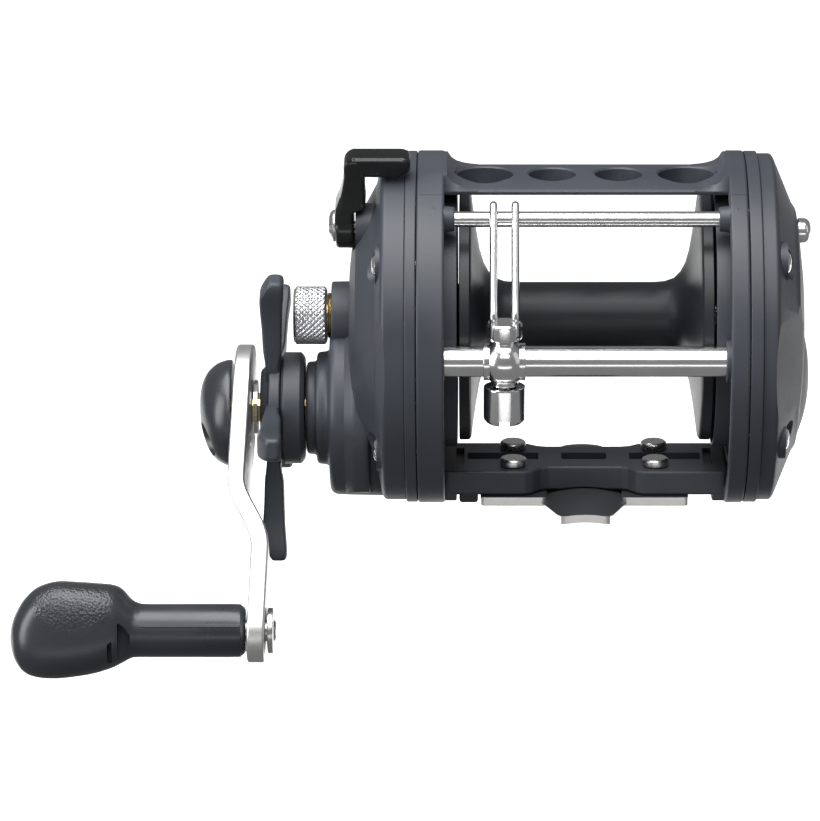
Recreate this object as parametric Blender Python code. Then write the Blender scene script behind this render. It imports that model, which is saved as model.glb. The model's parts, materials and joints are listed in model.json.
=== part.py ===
"""Right-hand level-wind trolling reel, as an assembly of separate pieces.

Every size is in millimetres; node() turns the finished meshes into metres.
X runs along the spool axis, with the handle at -X. -Y faces the rod tip, +Z is up.
The origin is the middle of the foot's underside, where it sits on the rod.
"""
import math

import bmesh
import bpy
from mathutils import Matrix, Vector

MM = 0.001
GAP = 0.3

# How many sides a round piece has, from the large rings to the small pins
FINE, ROUND, MEDIUM, SMALL, TINY = 30, 18, 14, 10, 8

# Axes, as (y, z). All of them run along X.
RING_AXIS = (0.0, 41.1)
SPOOL_AXIS = (0.0, 43.9)
CRANK_AXIS = (0.0, 20.3)
WORM_AXIS = (-36.0, 42.8)
BAR_AXIS = (-22.0, 74.0)

# Frame
RING_RADIUS = 43.0
RING_BORE = 38.5
WINDOW = 34.0
LEFT_RING_END = 40.6
RIGHT_RING_END = 38.5
LEFT_COVER_START = 43.5
RIGHT_COVER_START = 41.8
COVER_RADIUS = 42.3
TRIM_BORE = 40.8
LUG_ANGLE = 27.0
BASE_BOTTOM = 1.6
BASE_TOP = 7.7
BAR_RADIUS = 1.9
TUBE_RADIUS = 3.65
TUBE_BORE = 3.0

# Spool
FLANGE_RADIUS = 30.4
FLANGE_FACE = 27.7
FLANGE_OUTER = 30.5
ARBOR_RADIUS = 8.2
SHAFT_RADIUS = 2.5

# Lips of the frame, which shroud the flanges
LIP_RADIUS = 32.0
LIP_BORE = 31.0

# Foot
FOOT_THICKNESS = 2.0
FOOT_HALF_LENGTH = 28.5
WING_HALF_LENGTH = 14.3
WING_HALF_WIDTH = 25.4
ARCH_RADIUS = 27.0
FOOT_SCREWS = [(x, y) for x in (-17.4, 17.4) for y in (-7.2, 6.4)]

# Gears. The crank's gear drives the pinion; the spool's small gear drives the worm.
DRIVE_MODULE = 0.944
MAIN_TEETH = 39
PINION_TEETH = 11
TRAIN_MODULE = 0.9
SPOOL_TEETH = 10
IDLER_TEETH = 32
WORM_TEETH = 8
RATCHET_TEETH = 12

# Handle, star and lever
ARM_ANGLE = 134.0
ARM_LENGTH = 61.0
ARM_BIG_RADIUS = 15.6
ARM_SMALL_RADIUS = 7.7
ARM_THICKNESS = 4.2
KNOB_TILT = 16.0
STAR_ARMS = 5
STAR_ANGLE = 17.0
LEVER_ANGLE = 16.4
LEVER_PIVOT_RADIUS = 28.8

# Carriage, at its place along the worm
CARRIAGE_X = -19.6
WIRE_RADIUS = 0.95

# Clicker, on the far cover
CLICK_Z = 65.3
CLICK_TRAVEL = 4.0

# Screws of the two covers, as angles from straight up towards the rod tip
SCREW_CIRCLE = 36.3
LEFT_SEAT, RIGHT_SEAT = 49.6, 46.9
LEFT_SCREW_ANGLES = (50.3, 128.8)
RIGHT_SCREW_ANGLES = (49.2, 121.4)

BLACK = ((0.035, 0.04, 0.048), 0.45, 0.0)
DARK = ((0.012, 0.013, 0.015), 0.4, 0.0)
CHROME = ((0.78, 0.78, 0.78), 0.12, 1.0)
STEEL = ((0.6, 0.6, 0.6), 0.3, 1.0)
SILVER = ((0.8, 0.8, 0.8), 0.4, 0.8)
BRASS = ((0.75, 0.55, 0.2), 0.3, 1.0)
NYLON = ((0.75, 0.72, 0.62), 0.5, 0.0)
CARBON = ((0.03, 0.03, 0.03), 0.7, 0.0)


# ---------------------------------------------------------------- solids

def solid(vertices, faces):
    """A closed mesh from its points and faces, with every face pointing out."""
    mesh = bpy.data.meshes.new("solid")
    mesh.from_pydata([tuple(v) for v in vertices], [], faces)
    shape = bmesh.new()
    shape.from_mesh(mesh)
    bmesh.ops.recalc_face_normals(shape, faces=shape.faces)
    shape.to_mesh(mesh)
    shape.free()
    return mesh


def lathe(profile, at=(0.0, 0.0), segments=ROUND):
    """Turn (x, radius) points round an axis along X. A profile that touches the axis is solid."""
    vertices, rings = [], []
    for x, radius in profile:
        if radius == 0:
            rings.append([len(vertices)])
            vertices.append((x, at[0], at[1]))
            continue
        rings.append(list(range(len(vertices), len(vertices) + segments)))
        for i in range(segments):
            angle = math.tau * i / segments
            vertices.append((x, at[0] + radius * math.cos(angle), at[1] + radius * math.sin(angle)))
    pairs = list(zip(rings, rings[1:]))
    if profile[0][1] > 0 and profile[-1][1] > 0:
        pairs.append((rings[-1], rings[0]))
    faces = []
    for low, high in pairs:
        for i in range(segments):
            j = (i + 1) % segments
            corners = [low[i % len(low)], low[j % len(low)], high[j % len(high)], high[i % len(high)]]
            faces.append(list(dict.fromkeys(corners)))
    return solid(vertices, faces)


def rod(x0, x1, radius, at=(0.0, 0.0), segments=MEDIUM):
    """A plain cylinder along X."""
    return lathe([(x0, 0), (x0, radius), (x1, radius), (x1, 0)], at, segments)


def tube(x0, x1, radius, bore, at=(0.0, 0.0), segments=MEDIUM):
    """A cylinder along X with a hole through it."""
    return lathe([(x0, bore), (x0, radius), (x1, radius), (x1, bore)], at, segments)


def loft(sections):
    """Join equal loops of points into one solid, with flat ends."""
    count = len(sections[0])
    vertices = [point for section in sections for point in section]
    faces = [list(range(count))[::-1], list(range(len(vertices) - count, len(vertices)))]
    for k in range(len(sections) - 1):
        low, high = k * count, (k + 1) * count
        for i in range(count):
            j = (i + 1) % count
            faces.append([low + i, low + j, high + j, high + i])
    return solid(vertices, faces)


def prism(outline, low, high, axis="x"):
    """Push an outline from low to high. It is in (y, z) for axis x, (x, z) for y, (x, y) for z."""
    def point(level, a, b):
        return {"x": (level, a, b), "y": (a, level, b), "z": (a, b, level)}[axis]
    return loft([[point(level, a, b) for a, b in outline] for level in (low, high)])


def box(x0, x1, y0, y1, z0, z1):
    return prism([(y0, z0), (y1, z0), (y1, z1), (y0, z1)], x0, x1)


def post(x, y, z0, z1, radius, segments=SMALL):
    """A cylinder along Z."""
    return prism([polar((x, y), radius, 360.0 * i / segments) for i in range(segments)], z0, z1, "z")


def sweep(path, radius, sides=8):
    """A round wire along a path of points."""
    sections = []
    for i, point in enumerate(path):
        ahead = Vector(path[min(i + 1, len(path) - 1)]) - Vector(path[max(i - 1, 0)])
        turn = Vector((1, 0, 0)).cross(ahead).normalized()
        if turn.length == 0:
            turn = Vector((0, 1, 0))
        other = ahead.normalized().cross(turn)
        angles = [math.tau * k / sides for k in range(sides)]
        sections.append([Vector(point) + radius * (math.cos(a) * turn + math.sin(a) * other) for a in angles])
    return loft(sections)


def boolean(body_mesh, tool_mesh, operation):
    body = bpy.data.objects.new("body", body_mesh)
    tool = bpy.data.objects.new("tool", tool_mesh)
    for piece in (body, tool):
        bpy.context.scene.collection.objects.link(piece)
    modifier = body.modifiers.new("boolean", "BOOLEAN")
    modifier.operation = operation
    modifier.object = tool
    result = bpy.data.meshes.new_from_object(body.evaluated_get(bpy.context.evaluated_depsgraph_get()))
    for piece in (body, tool):
        bpy.data.objects.remove(piece)
    shape = bmesh.new()
    shape.from_mesh(result)
    bmesh.ops.remove_doubles(shape, verts=shape.verts, dist=0.0002)
    bmesh.ops.dissolve_degenerate(shape, edges=shape.edges, dist=0.0002)
    shape.to_mesh(result)
    shape.free()
    return result


def union(mesh, *others):
    for other in others:
        mesh = boolean(mesh, other, "UNION")
    return mesh


def cut(mesh, *tools):
    for tool in tools:
        mesh = boolean(mesh, tool, "DIFFERENCE")
    return mesh


def common(mesh, other):
    return boolean(mesh, other, "INTERSECT")


def material(name, colour, roughness, metallic):
    finish = bpy.data.materials.new(name)
    finish.use_nodes = True
    shader = finish.node_tree.nodes["Principled BSDF"]
    shader.inputs["Base Color"].default_value = (*colour, 1.0)
    shader.inputs["Roughness"].default_value = roughness
    shader.inputs["Metallic"].default_value = metallic
    return finish


def node(name, mesh, finish, origin=(0.0, 0.0, 0.0)):
    """Give a finished mesh its name and material, and its origin on the axis that it turns about."""
    mesh.transform(Matrix.Scale(MM, 4) @ Matrix.Translation(-Vector(origin)))
    mesh.name = name
    mesh.materials.clear()
    mesh.materials.append(material(name, *finish))
    mesh.shade_smooth()
    mesh.set_sharp_from_angle(angle=math.radians(35))
    piece = bpy.data.objects.new(name, mesh)
    piece.location = Vector(origin) * MM
    bpy.context.scene.collection.objects.link(piece)
    return piece


# ---------------------------------------------------------------- outlines

def polar(centre, radius, degrees):
    """A point round a centre, counted from the first coordinate towards the second."""
    angle = math.radians(degrees)
    return (centre[0] + radius * math.cos(angle), centre[1] + radius * math.sin(angle))


def forward(centre, radius, degrees):
    """A (y, z) point, counted from straight up towards the rod tip."""
    return polar(centre, radius, 90.0 + degrees)


def arc(centre, radius, start, end, steps):
    return [polar(centre, radius, start + (end - start) * i / steps) for i in range(steps + 1)]


def two_circles(first, r1, second, r2, steps=10):
    """The outline of a belt round two circles."""
    along = math.degrees(math.atan2(second[1] - first[1], second[0] - first[0]))
    spread = math.degrees(math.acos((r1 - r2) / math.dist(first, second)))
    near = arc(first, r1, along + spread, along + 360 - spread, steps)
    far = arc(second, r2, along - spread, along + spread, steps)
    return near + far


def gear_outline(centre, teeth, module, tooth_angle):
    """Stub teeth with straight flanks. One tooth points along tooth_angle."""
    pitch = teeth * module / 2
    root = (pitch - 1.1 * module, 0.8)
    tip = (pitch + 0.7 * module, 0.24)
    outline = []
    for i in range(teeth):
        middle = tooth_angle + 360.0 * i / teeth
        for side, (radius, share) in ((-1, root), (-1, tip), (1, tip), (1, root)):
            outline.append(polar(centre, radius, middle + side * share * 180.0 / teeth))
    return outline


def direction(first, second):
    return math.degrees(math.atan2(second[1] - first[1], second[0] - first[0]))


def meshing_angle(first, first_teeth, first_angle, second, second_teeth):
    """The tooth angle that puts the second gear's teeth into the first gear's gaps."""
    line = direction(first, second)
    pitch = 360.0 / first_teeth
    lead = (first_angle - line + pitch / 2) % pitch - pitch / 2
    return line + 180.0 - lead * first_teeth / second_teeth + 180.0 / second_teeth


def meeting_point(first, r1, second, r2):
    """Where two circles cross, on the upper side."""
    apart = math.dist(first, second)
    along = (apart ** 2 + r1 ** 2 - r2 ** 2) / (2 * apart)
    up = math.sqrt(r1 ** 2 - along ** 2)
    line = Vector((second[0] - first[0], second[1] - first[1])).normalized()
    side = Vector((-line.y, line.x)) if line.x > 0 else Vector((line.y, -line.x))
    return tuple(Vector(first) + along * line + up * side)


IDLER_AXIS = meeting_point(SPOOL_AXIS, TRAIN_MODULE * (SPOOL_TEETH + IDLER_TEETH) / 2,
                           WORM_AXIS, TRAIN_MODULE * (WORM_TEETH + IDLER_TEETH) / 2)
LEVER_AXIS = forward(RING_AXIS, LEVER_PIVOT_RADIUS, LEVER_ANGLE)


# ---------------------------------------------------------------- frame

def frame():
    """Two side rings with webs, joined by the base that carries the foot."""
    body = None
    for side, end, web in ((-1, LEFT_RING_END, (36.5, 39.5)), (1, RIGHT_RING_END, (35.6, 38.2))):
        profile = [(web[0], 0), (web[0], RING_BORE), (WINDOW + 1.2, RING_BORE), (WINDOW, 39.6),
                   (WINDOW, RING_RADIUS - 0.6), (WINDOW + 0.6, RING_RADIUS), (end, RING_RADIUS),
                   (end, RING_BORE), (web[1], RING_BORE), (web[1], 0)]
        ring = lathe([(side * x, r) for x, r in profile], RING_AXIS, FINE)
        boss = rod(side * 31.5, side * (web[0] + 0.5), 3.0, BAR_AXIS, SMALL)
        socket = rod(side * (32.8 if side > 0 else 33.9), side * (web[0] + 0.5), 5.0, WORM_AXIS, SMALL)
        heel = common(tube(side * 31.2, side * 34.6, 42.6, 39.0, RING_AXIS, FINE),
                      box(side * 31.2 - 5, side * 31.2 + 5, -12.0, 12.0, -5, 4))
        lip = tube(side * 31.0, side * (web[0] + 0.5), LIP_RADIUS, LIP_BORE, SPOOL_AXIS, FINE)
        ring = union(ring, boss, socket, heel, lip)
        body = ring if body is None else union(body, ring)
    end_front, end_rear, mid_front, mid_rear = -12.1, 11.8, -7.9, 8.9
    half = WINDOW + 1.0
    plan = [(-half, end_front), (-13.5, end_front), (-10.5, mid_front), (10.5, mid_front),
            (13.5, end_front), (half, end_front), (half, end_rear), (15.5, end_rear),
            (11.0, mid_rear), (-11.0, mid_rear), (-15.5, end_rear), (-half, end_rear)]
    base = prism(plan, BASE_BOTTOM, BASE_TOP, "z")
    arch = [(-10.9, 0.4)] + [(-x, z) for x, z in arch_line(10.9, 2.3, 6)] + [(10.9, 0.4)]
    base = cut(base, prism(arch, -20, 20, "y"))
    for x0, x1 in ((-28.6, -11.2), (-5.5, 5.5), (11.2, 28.6)):
        base = cut(base, box(x0, x1, -2.0, 3.2, BASE_TOP - 3.6, BASE_TOP + 2))
    for x, y in FOOT_SCREWS:
        base = cut(base, post(x, y, 0, 10, 1.95))
    body = union(body, base)
    body = cut(body, lug_outline_prism(-44, 44, RING_BORE - 0.2, 46.0, LUG_ANGLE + 0.25))
    holes = [rod(-37, 37, 4.0, WORM_AXIS, MEDIUM),
             rod(-45, 45, 2.7, WORM_AXIS, SMALL),
             rod(-33.8, 33.8, 2.25, BAR_AXIS, SMALL),
             rod(-45, -35, 6.85, SPOOL_AXIS, ROUND),
             rod(35, 45, 6.85, SPOOL_AXIS, ROUND)]
    for side, angles in ((-1, LEFT_SCREW_ANGLES), (1, RIGHT_SCREW_ANGLES)):
        for angle in angles:
            centre = forward(RING_AXIS, SCREW_CIRCLE, angle)
            holes.append(rod(side * 36.9, side * 42, 1.75, centre, TINY))
    node("frame", cut(body, *holes), BLACK)


def arch_line(half_width, crown, steps):
    """(x, z) points of the foot's arch, from -half_width to half_width, with a flat at the crown."""
    points = []
    for i in range(steps + 2):
        x = -half_width + 2 * half_width * i / (steps + 1)
        drop = ARCH_RADIUS - math.sqrt(ARCH_RADIUS ** 2 - x ** 2)
        points.append((x, crown - drop))
    middle = min(points, key=lambda p: abs(p[0]))[0]
    return [(x, crown if abs(abs(x) - abs(middle)) < 1e-6 else z) for x, z in points][::-1]


def lug_outline_prism(x0, x1, inner, outer, spread):
    """A sector of a ring, centred on the top."""
    inside = arc(RING_AXIS, inner, 90 - spread, 90 + spread, 8)
    outside = arc(RING_AXIS, outer, 90 + spread, 90 - spread, 8)
    return prism(inside + outside, x0, x1)


def top_bar():
    """The thumb bar: a flat bridge with four holes, and a lug at each end that completes its ring."""
    section = [(7.0, 76.4), (7.3, 77.0), (7.3, 79.8), (6.6, 80.3), (-2.0, 80.5), (-8.0, 80.0),
               (-12.0, 78.9), (-13.2, 77.7), (-12.6, 76.5), (-6.0, 76.2)]
    body = prism(section, -35.0, 35.0)
    for side, end in ((-1, LEFT_RING_END), (1, RIGHT_RING_END)):
        x0, x1 = sorted((side * WINDOW, side * end))
        body = union(body, lug_outline_prism(x0, x1, RING_BORE + 0.2, RING_RADIUS, LUG_ANGLE))
        slope = [(34.6, 78.0), (34.6, 84.4), (33.6, 83.9), (32.9, 82.2), (31.6, 81.2), (28.0, 80.0),
                 (28.0, 78.0)]
        shoulder = prism([(side * x, z) for x, z in slope], -13.0, 7.0, "y")
        body = union(body, common(shoulder, rod(-45, 45, RING_RADIUS - 0.15, RING_AXIS, FINE)))
    for x, radius in ((-24.3, 6.8), (-8.0, 5.7), (8.0, 5.7), (24.3, 6.8)):
        body = cut(body, post(x, -2.8, 70, 90, radius, MEDIUM))
    node("top_bar", body, BLACK)


def trim_rings():
    for name, x0, x1 in (("left_trim_ring", -LEFT_COVER_START + GAP, -LEFT_RING_END - GAP),
                         ("right_trim_ring", RIGHT_RING_END + GAP, RIGHT_COVER_START - GAP)):
        node(name, tube(x0, x1, RING_RADIUS, TRIM_BORE, RING_AXIS, FINE), BLACK)


def foot():
    stations = [-FOOT_HALF_LENGTH, -FOOT_HALF_LENGTH + 2, -WING_HALF_LENGTH, WING_HALF_LENGTH,
                FOOT_HALF_LENGTH - 2, FOOT_HALF_LENGTH]
    widths = [5.6, 6.6, 10.3, 10.3, 6.6, 5.6]
    sections = []
    for y, width in zip(stations, widths):
        top = arch_line(width, FOOT_THICKNESS, 6)
        sections.append([(x, y, z) for x, z in top] + [(x, y, z - FOOT_THICKNESS) for x, z in top[::-1]])
    plate = loft(sections)
    for side in (-1, 1):
        width, length = side * WING_HALF_WIDTH, WING_HALF_LENGTH
        wing = [(side * 9.2, -length), (width - side, -length), (width, 1 - length),
                (width, length - 1), (width - side, length), (side * 9.2, length)]
        plate = union(plate, prism(wing, -0.7, 1.3, "z"))
    for x, y in FOOT_SCREWS:
        plate = cut(plate, post(x, y, -5, 5, 1.95))
    node("foot_plate", plate, STEEL)
    for number, (x, y) in enumerate(FOOT_SCREWS, 1):
        head = lathe([(8.0, 0), (8.0, 3.0), (8.2, 3.2), (9.5, 3.2), (9.9, 2.7), (9.9, 0)], (0, 0), SMALL)
        screw = union(head, rod(-0.5, 8.1, 1.6, (0, 0), TINY))
        screw.transform(Matrix.Translation((x, y, 0)) @ Matrix.Rotation(math.radians(-90), 4, "Y"))
        node(f"foot_screw_{number}", screw, STEEL)
    bumper = prism([(-30.6, -0.6), (-30.0, -1.2), (-27.2, -1.2), (-26.0, -0.4), (-26.0, 1.0), (-26.6, 1.3),
                    (-30.0, 1.3), (-30.6, 0.8)], -9.5, 4.0, "y")
    node("foot_bumper", bumper, DARK)


def bars():
    slot = box(-27.5, 27.5, WORM_AXIS[0] - 1.5, WORM_AXIS[0] + 1.5, WORM_AXIS[1] - 8, WORM_AXIS[1] - 1.5)
    pipe = cut(tube(-36.2, 35.3, TUBE_RADIUS, TUBE_BORE, WORM_AXIS, MEDIUM), slot)
    node("level_wind_tube", pipe, CHROME)
    node("stabilizer_bar", rod(-33.5, 33.5, BAR_RADIUS, BAR_AXIS, SMALL), CHROME)


# ---------------------------------------------------------------- side covers

def screw_seats(cover, side, angles, floor, start):
    """Add a post inside the cover for each screw, then its recess and its hole."""
    for angle in angles:
        centre = forward(RING_AXIS, SCREW_CIRCLE, angle)
        cover = union(cover, rod(side * start, side * (floor + 1.0), 4.9, centre, SMALL))
        cover = cut(cover, rod(side * floor, side * (floor + 12), 4.3, centre, SMALL),
                    rod(side * (start - 1), side * (floor + 1), 1.75, centre, TINY))
    return cover


def left_cover():
    """The handle-side cover, with the gear housing, the neck and the boss of the cast control."""
    outer = [(-57.2, 0), (-57.2, 15.0), (-56.5, 21.6), (-55.4, 26.5), (-52.6, 31.0), (-50.5, 35.0),
             (-49.2, 41.4), (-48.6, COVER_RADIUS), (-LEFT_COVER_START, COVER_RADIUS),
             (-LEFT_COVER_START, 0)]
    inner = [(-40.0, 0), (-40.0, TRIM_BORE - 0.8), (-47.4, 39.4), (-48.6, 34.0), (-53.2, 25.0),
             (-54.9, 16.0), (-54.9, 0)]
    cover = lathe(outer, RING_AXIS, FINE)
    housing = [(-45.0, 0), (-45.0, 21.3), (-59.8, 21.3), (-61.6, 20.4), (-62.2, 18.9), (-62.2, 14.6),
               (-62.2, 13.7), (-64.6, 13.7), (-65.5, 12.9), (-65.5, 11.4), (-68.0, 11.4), (-68.0, 0)]
    boss = [(-50.0, 0), (-50.0, 8.3), (-61.2, 8.3), (-61.7, 7.8), (-61.7, 0)]
    cover = union(cover, lathe(housing, CRANK_AXIS, ROUND), lathe(boss, SPOOL_AXIS, MEDIUM),
                  rod(-50.6, -55.4, 5.5, LEVER_AXIS, SMALL))
    for side in (-1, 1):
        facet = [(-47.2, side * 43.5), (-57.0, side * 22.5), (-70.0, side * 22.5), (-70.0, side * 60.0),
                 (-47.2, side * 60.0)]
        slab = common(prism(facet, 22.0, 60.0, "z"), box(-70, -40, -60, 60, 25.0, 58.0))
        cover = cut(cover, slab)
    gear_space = [(-40.0, 0), (-40.0, 19.6), (-59.4, 19.6), (-60.2, 18.0), (-60.2, 0)]
    cover = cut(cover, lathe(inner, RING_AXIS, FINE), lathe(gear_space, CRANK_AXIS, ROUND))
    for x0, x1, radius, axis, sides in ((-59.9, -67.3, 8.35, CRANK_AXIS, MEDIUM),
                                        (-67.0, -70.0, 5.2, CRANK_AXIS, MEDIUM),
                                        (-50.0, -59.8, 6.7, SPOOL_AXIS, MEDIUM),
                                        (-59.0, -64.0, 4.3, SPOOL_AXIS, MEDIUM),
                                        (-48.0, -57.0, 2.9, LEVER_AXIS, SMALL),
                                        (-55.4, -60.0, 6.1, LEVER_AXIS, SMALL)):
        cover = cut(cover, rod(x0, x1, radius, axis, sides))
    cover = screw_seats(cover, -1, LEFT_SCREW_ANGLES, LEFT_SEAT - 0.3, LEFT_COVER_START)
    node("left_cover", cover, BLACK)


def right_cover():
    """The far cover: a cone with a raised lower dome, and a recess for the clicker's button."""
    outer = [(53.8, 0), (52.8, 16.2), (51.6, 26.4), (51.1, 29.2), (50.2, 30.5), (45.8, 41.2),
             (45.1, COVER_RADIUS), (RIGHT_COVER_START, COVER_RADIUS)]
    inner = [(RIGHT_COVER_START, TRIM_BORE), (44.2, 40.2), (48.0, 30.0), (49.4, 26.0), (50.6, 16.0),
             (51.2, 0)]
    cover = lathe(outer + inner, RING_AXIS, FINE)
    dome = [(50.9, 0), (50.9, 16.8), (52.35, 14.0), (53.7, 10.0), (54.5, 6.0), (54.9, 0)]
    cover = union(cover, common(lathe(dome, (0.0, RING_AXIS[1] - 12.0), ROUND),
                                rod(49.0, 60.0, 29.0, RING_AXIS, FINE)))
    recess = two_circles((0.0, CLICK_Z), 3.7, (0.0, CLICK_Z - CLICK_TRAVEL), 3.7, 8)
    slot = two_circles((0.0, CLICK_Z), 1.7, (0.0, CLICK_Z - CLICK_TRAVEL), 1.7, 6)
    cover = cut(cover, prism(recess, 51.3, 60), prism(slot, 40, 60))
    cover = screw_seats(cover, 1, RIGHT_SCREW_ANGLES, RIGHT_SEAT - 0.3, RIGHT_COVER_START)
    node("right_cover", cover, BLACK)


def cover_screws():
    for name, side, angles, seat in (("left_cover_screw", -1, LEFT_SCREW_ANGLES, LEFT_SEAT),
                                     ("right_cover_screw", 1, RIGHT_SCREW_ANGLES, RIGHT_SEAT)):
        profile = [(37.4, 0), (37.4, 1.4), (seat, 1.4), (seat, 2.9), (seat + 1.2, 2.9),
                   (seat + 1.7, 2.2), (seat + 1.7, 0)]
        for number, angle in enumerate(angles, 1):
            centre = forward(RING_AXIS, SCREW_CIRCLE, angle)
            screw = lathe([(side * x, r) for x, r in profile], centre, SMALL)
            node(f"{name}_{number}", screw, CHROME)


# ---------------------------------------------------------------- spool and gears

def spool():
    half = [(0.0, ARBOR_RADIUS), (17.5, ARBOR_RADIUS), (21.8, 9.1), (24.0, 11.3), (25.6, 15.6),
            (26.4, 20.5), (FLANGE_FACE, 29.6), (28.3, FLANGE_RADIUS), (FLANGE_OUTER, FLANGE_RADIUS),
            (FLANGE_OUTER, 28.6), (28.9, 27.8), (28.4, 11.0), (31.5, 7.0), (31.5, 2.9)]
    profile = [(-x, r) for x, r in half[::-1]] + half[1:]
    node("spool", lathe(profile, SPOOL_AXIS, ROUND), BLACK, (0, *SPOOL_AXIS))
    shaft = [(-67.9, 0), (-67.9, 1.8), (-67.2, SHAFT_RADIUS), (42.9, SHAFT_RADIUS), (42.9, 0)]
    node("spool_shaft", lathe(shaft, SPOOL_AXIS, SMALL), STEEL, (0, *SPOOL_AXIS))
    bearing = [(-1.2, 2.8), (-1.2, 6.5), (1.2, 6.5), (1.2, 2.8)]
    for name, x in (("left_bearing", -38.0), ("right_bearing", 36.9)):
        node(name, lathe([(x + dx, r) for dx, r in bearing], SPOOL_AXIS, ROUND), STEEL)


def gears():
    crank_line = direction(CRANK_AXIS, SPOOL_AXIS)
    wheel = prism(gear_outline(CRANK_AXIS, MAIN_TEETH, DRIVE_MODULE, crank_line), -51.7, -47.4)
    wheel = cut(wheel, rod(-48.9, -60, 13.3, CRANK_AXIS, ROUND), rod(-60, -40, 4.3, CRANK_AXIS, SMALL))
    node("main_gear", wheel, BRASS, (0, *CRANK_AXIS))

    pinion_angle = meshing_angle(CRANK_AXIS, MAIN_TEETH, crank_line, SPOOL_AXIS, PINION_TEETH)
    teeth = prism(gear_outline(SPOOL_AXIS, PINION_TEETH, DRIVE_MODULE, pinion_angle), -54.4, -46.4)
    hub = lathe([(-46.6, 0), (-46.6, 4.6), (-42.7, 4.6), (-42.7, 3.6), (-41.1, 3.6), (-41.1, 4.6),
                 (-39.9, 4.6), (-39.9, 0)], SPOOL_AXIS, SMALL)
    pinion = cut(union(teeth, hub), rod(-60, -30, 2.85, SPOOL_AXIS, SMALL))
    node("pinion", pinion, BRASS, (0, *SPOOL_AXIS))

    spool_line = direction(SPOOL_AXIS, IDLER_AXIS)
    drive = prism(gear_outline(SPOOL_AXIS, SPOOL_TEETH, TRAIN_MODULE, spool_line), 39.0, 42.0)
    node("spool_gear", cut(drive, rod(30, 50, 2.8, SPOOL_AXIS, SMALL)), NYLON, (0, *SPOOL_AXIS))
    idler_angle = meshing_angle(SPOOL_AXIS, SPOOL_TEETH, spool_line, IDLER_AXIS, IDLER_TEETH)
    idler = prism(gear_outline(IDLER_AXIS, IDLER_TEETH, TRAIN_MODULE, idler_angle), 39.0, 41.4)
    node("idler_gear", cut(idler, rod(30, 50, 1.9, IDLER_AXIS, SMALL)), NYLON, (0, *IDLER_AXIS))
    pin = [(38.5, 0), (38.5, 1.5), (41.7, 1.5), (41.7, 2.6), (42.5, 2.6), (42.5, 0)]
    node("idler_pin", lathe(pin, IDLER_AXIS, SMALL), STEEL)
    worm_angle = meshing_angle(IDLER_AXIS, IDLER_TEETH, idler_angle, WORM_AXIS, WORM_TEETH)
    small = prism(gear_outline(WORM_AXIS, WORM_TEETH, TRAIN_MODULE, worm_angle), 39.0, 41.4)
    node("worm_gear", cut(small, rod(30, 50, 1.75, WORM_AXIS, SMALL)), NYLON, (0, *WORM_AXIS))


def worm_shaft():
    """A shaft with two crossing helical grooves, so that the carriage turns back at each end."""
    lead, stations, sides = 12.0, 36, 8
    radius, depth = 2.4, 0.5
    sections = []

    def ring(x, radii):
        return [(x, *polar(WORM_AXIS, r, 360.0 * k / sides)) for k, r in enumerate(radii)]

    for x in (-38.9, -33.0):
        sections.append(ring(x, [2.2] * sides))
    for i in range(stations + 1):
        x = -27.0 + 54.0 * i / stations
        radii = []
        for k in range(sides):
            turn = k / sides
            near = min(abs((x / lead + sign * turn + 0.5) % 1.0 - 0.5) for sign in (-1, 1))
            radii.append(radius - depth * max(0.0, 1.0 - near / 0.14))
        sections.append(ring(x, radii))
    for x, r in ((33.0, 2.2), (38.4, 2.2), (38.5, 1.45), (42.3, 1.45)):
        sections.append(ring(x, [r] * sides))
    node("worm_shaft", loft(sections), STEEL, (0, *WORM_AXIS))


# ---------------------------------------------------------------- clutch and drag

def clutch():
    y, z = SPOOL_AXIS
    plate = [(y - 15, z - 3), (y - 4.1, z - 3), (y - 4.1, z)]
    plate += arc(SPOOL_AXIS, 4.1, 180, 0, 8)[1:-1]
    plate += [(y + 4.1, z), (y + 4.1, z - 3), (y + 15, z - 3), (y + 15, z + 7), (y + 5, z + 12),
              (y - 5, z + 12), (y - 15, z + 7)]
    node("clutch_yoke", prism(plate, -42.4, -41.4), STEEL, (-41.9, y, z))
    for name, dy in (("yoke_spring_front", -12.0), ("yoke_spring_rear", 12.0)):
        turns, steps = 4, 7
        path = [(-42.9 - 9.0 * i / (turns * steps), *polar((y + dy, z + 2), 1.7, 360.0 * i / steps))
                for i in range(turns * steps + 1)]
        node(name, helix(path, 0.28), STEEL, (-41.9, y, z))
    peg = rod(-46.4, -43.2, 1.2, forward(LEVER_AXIS, 3.3, -90), TINY)
    cam = union(rod(-55.3, -47.6, 2.5, LEVER_AXIS, SMALL), rod(-47.8, -46.2, 5.0, LEVER_AXIS, SMALL), peg)
    cam = cut(cam, rod(-57.0, -51.8, 1.45, LEVER_AXIS, TINY))
    node("lever_cam", cam, STEEL, (-50.0, *LEVER_AXIS))


def helix(path, radius, sides=4):
    """A thin square wire along a coil whose axis runs along X."""
    sections = []
    for i, point in enumerate(path):
        ahead = (Vector(path[min(i + 1, len(path) - 1)]) - Vector(path[max(i - 1, 0)])).normalized()
        side = ahead.cross(Vector((1, 0, 0))).normalized()
        up = side.cross(ahead)
        angles = [math.tau * k / sides for k in range(sides)]
        sections.append([Vector(point) + radius * (math.cos(a) * side + math.sin(a) * up) for a in angles])
    return loft(sections)


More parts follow.
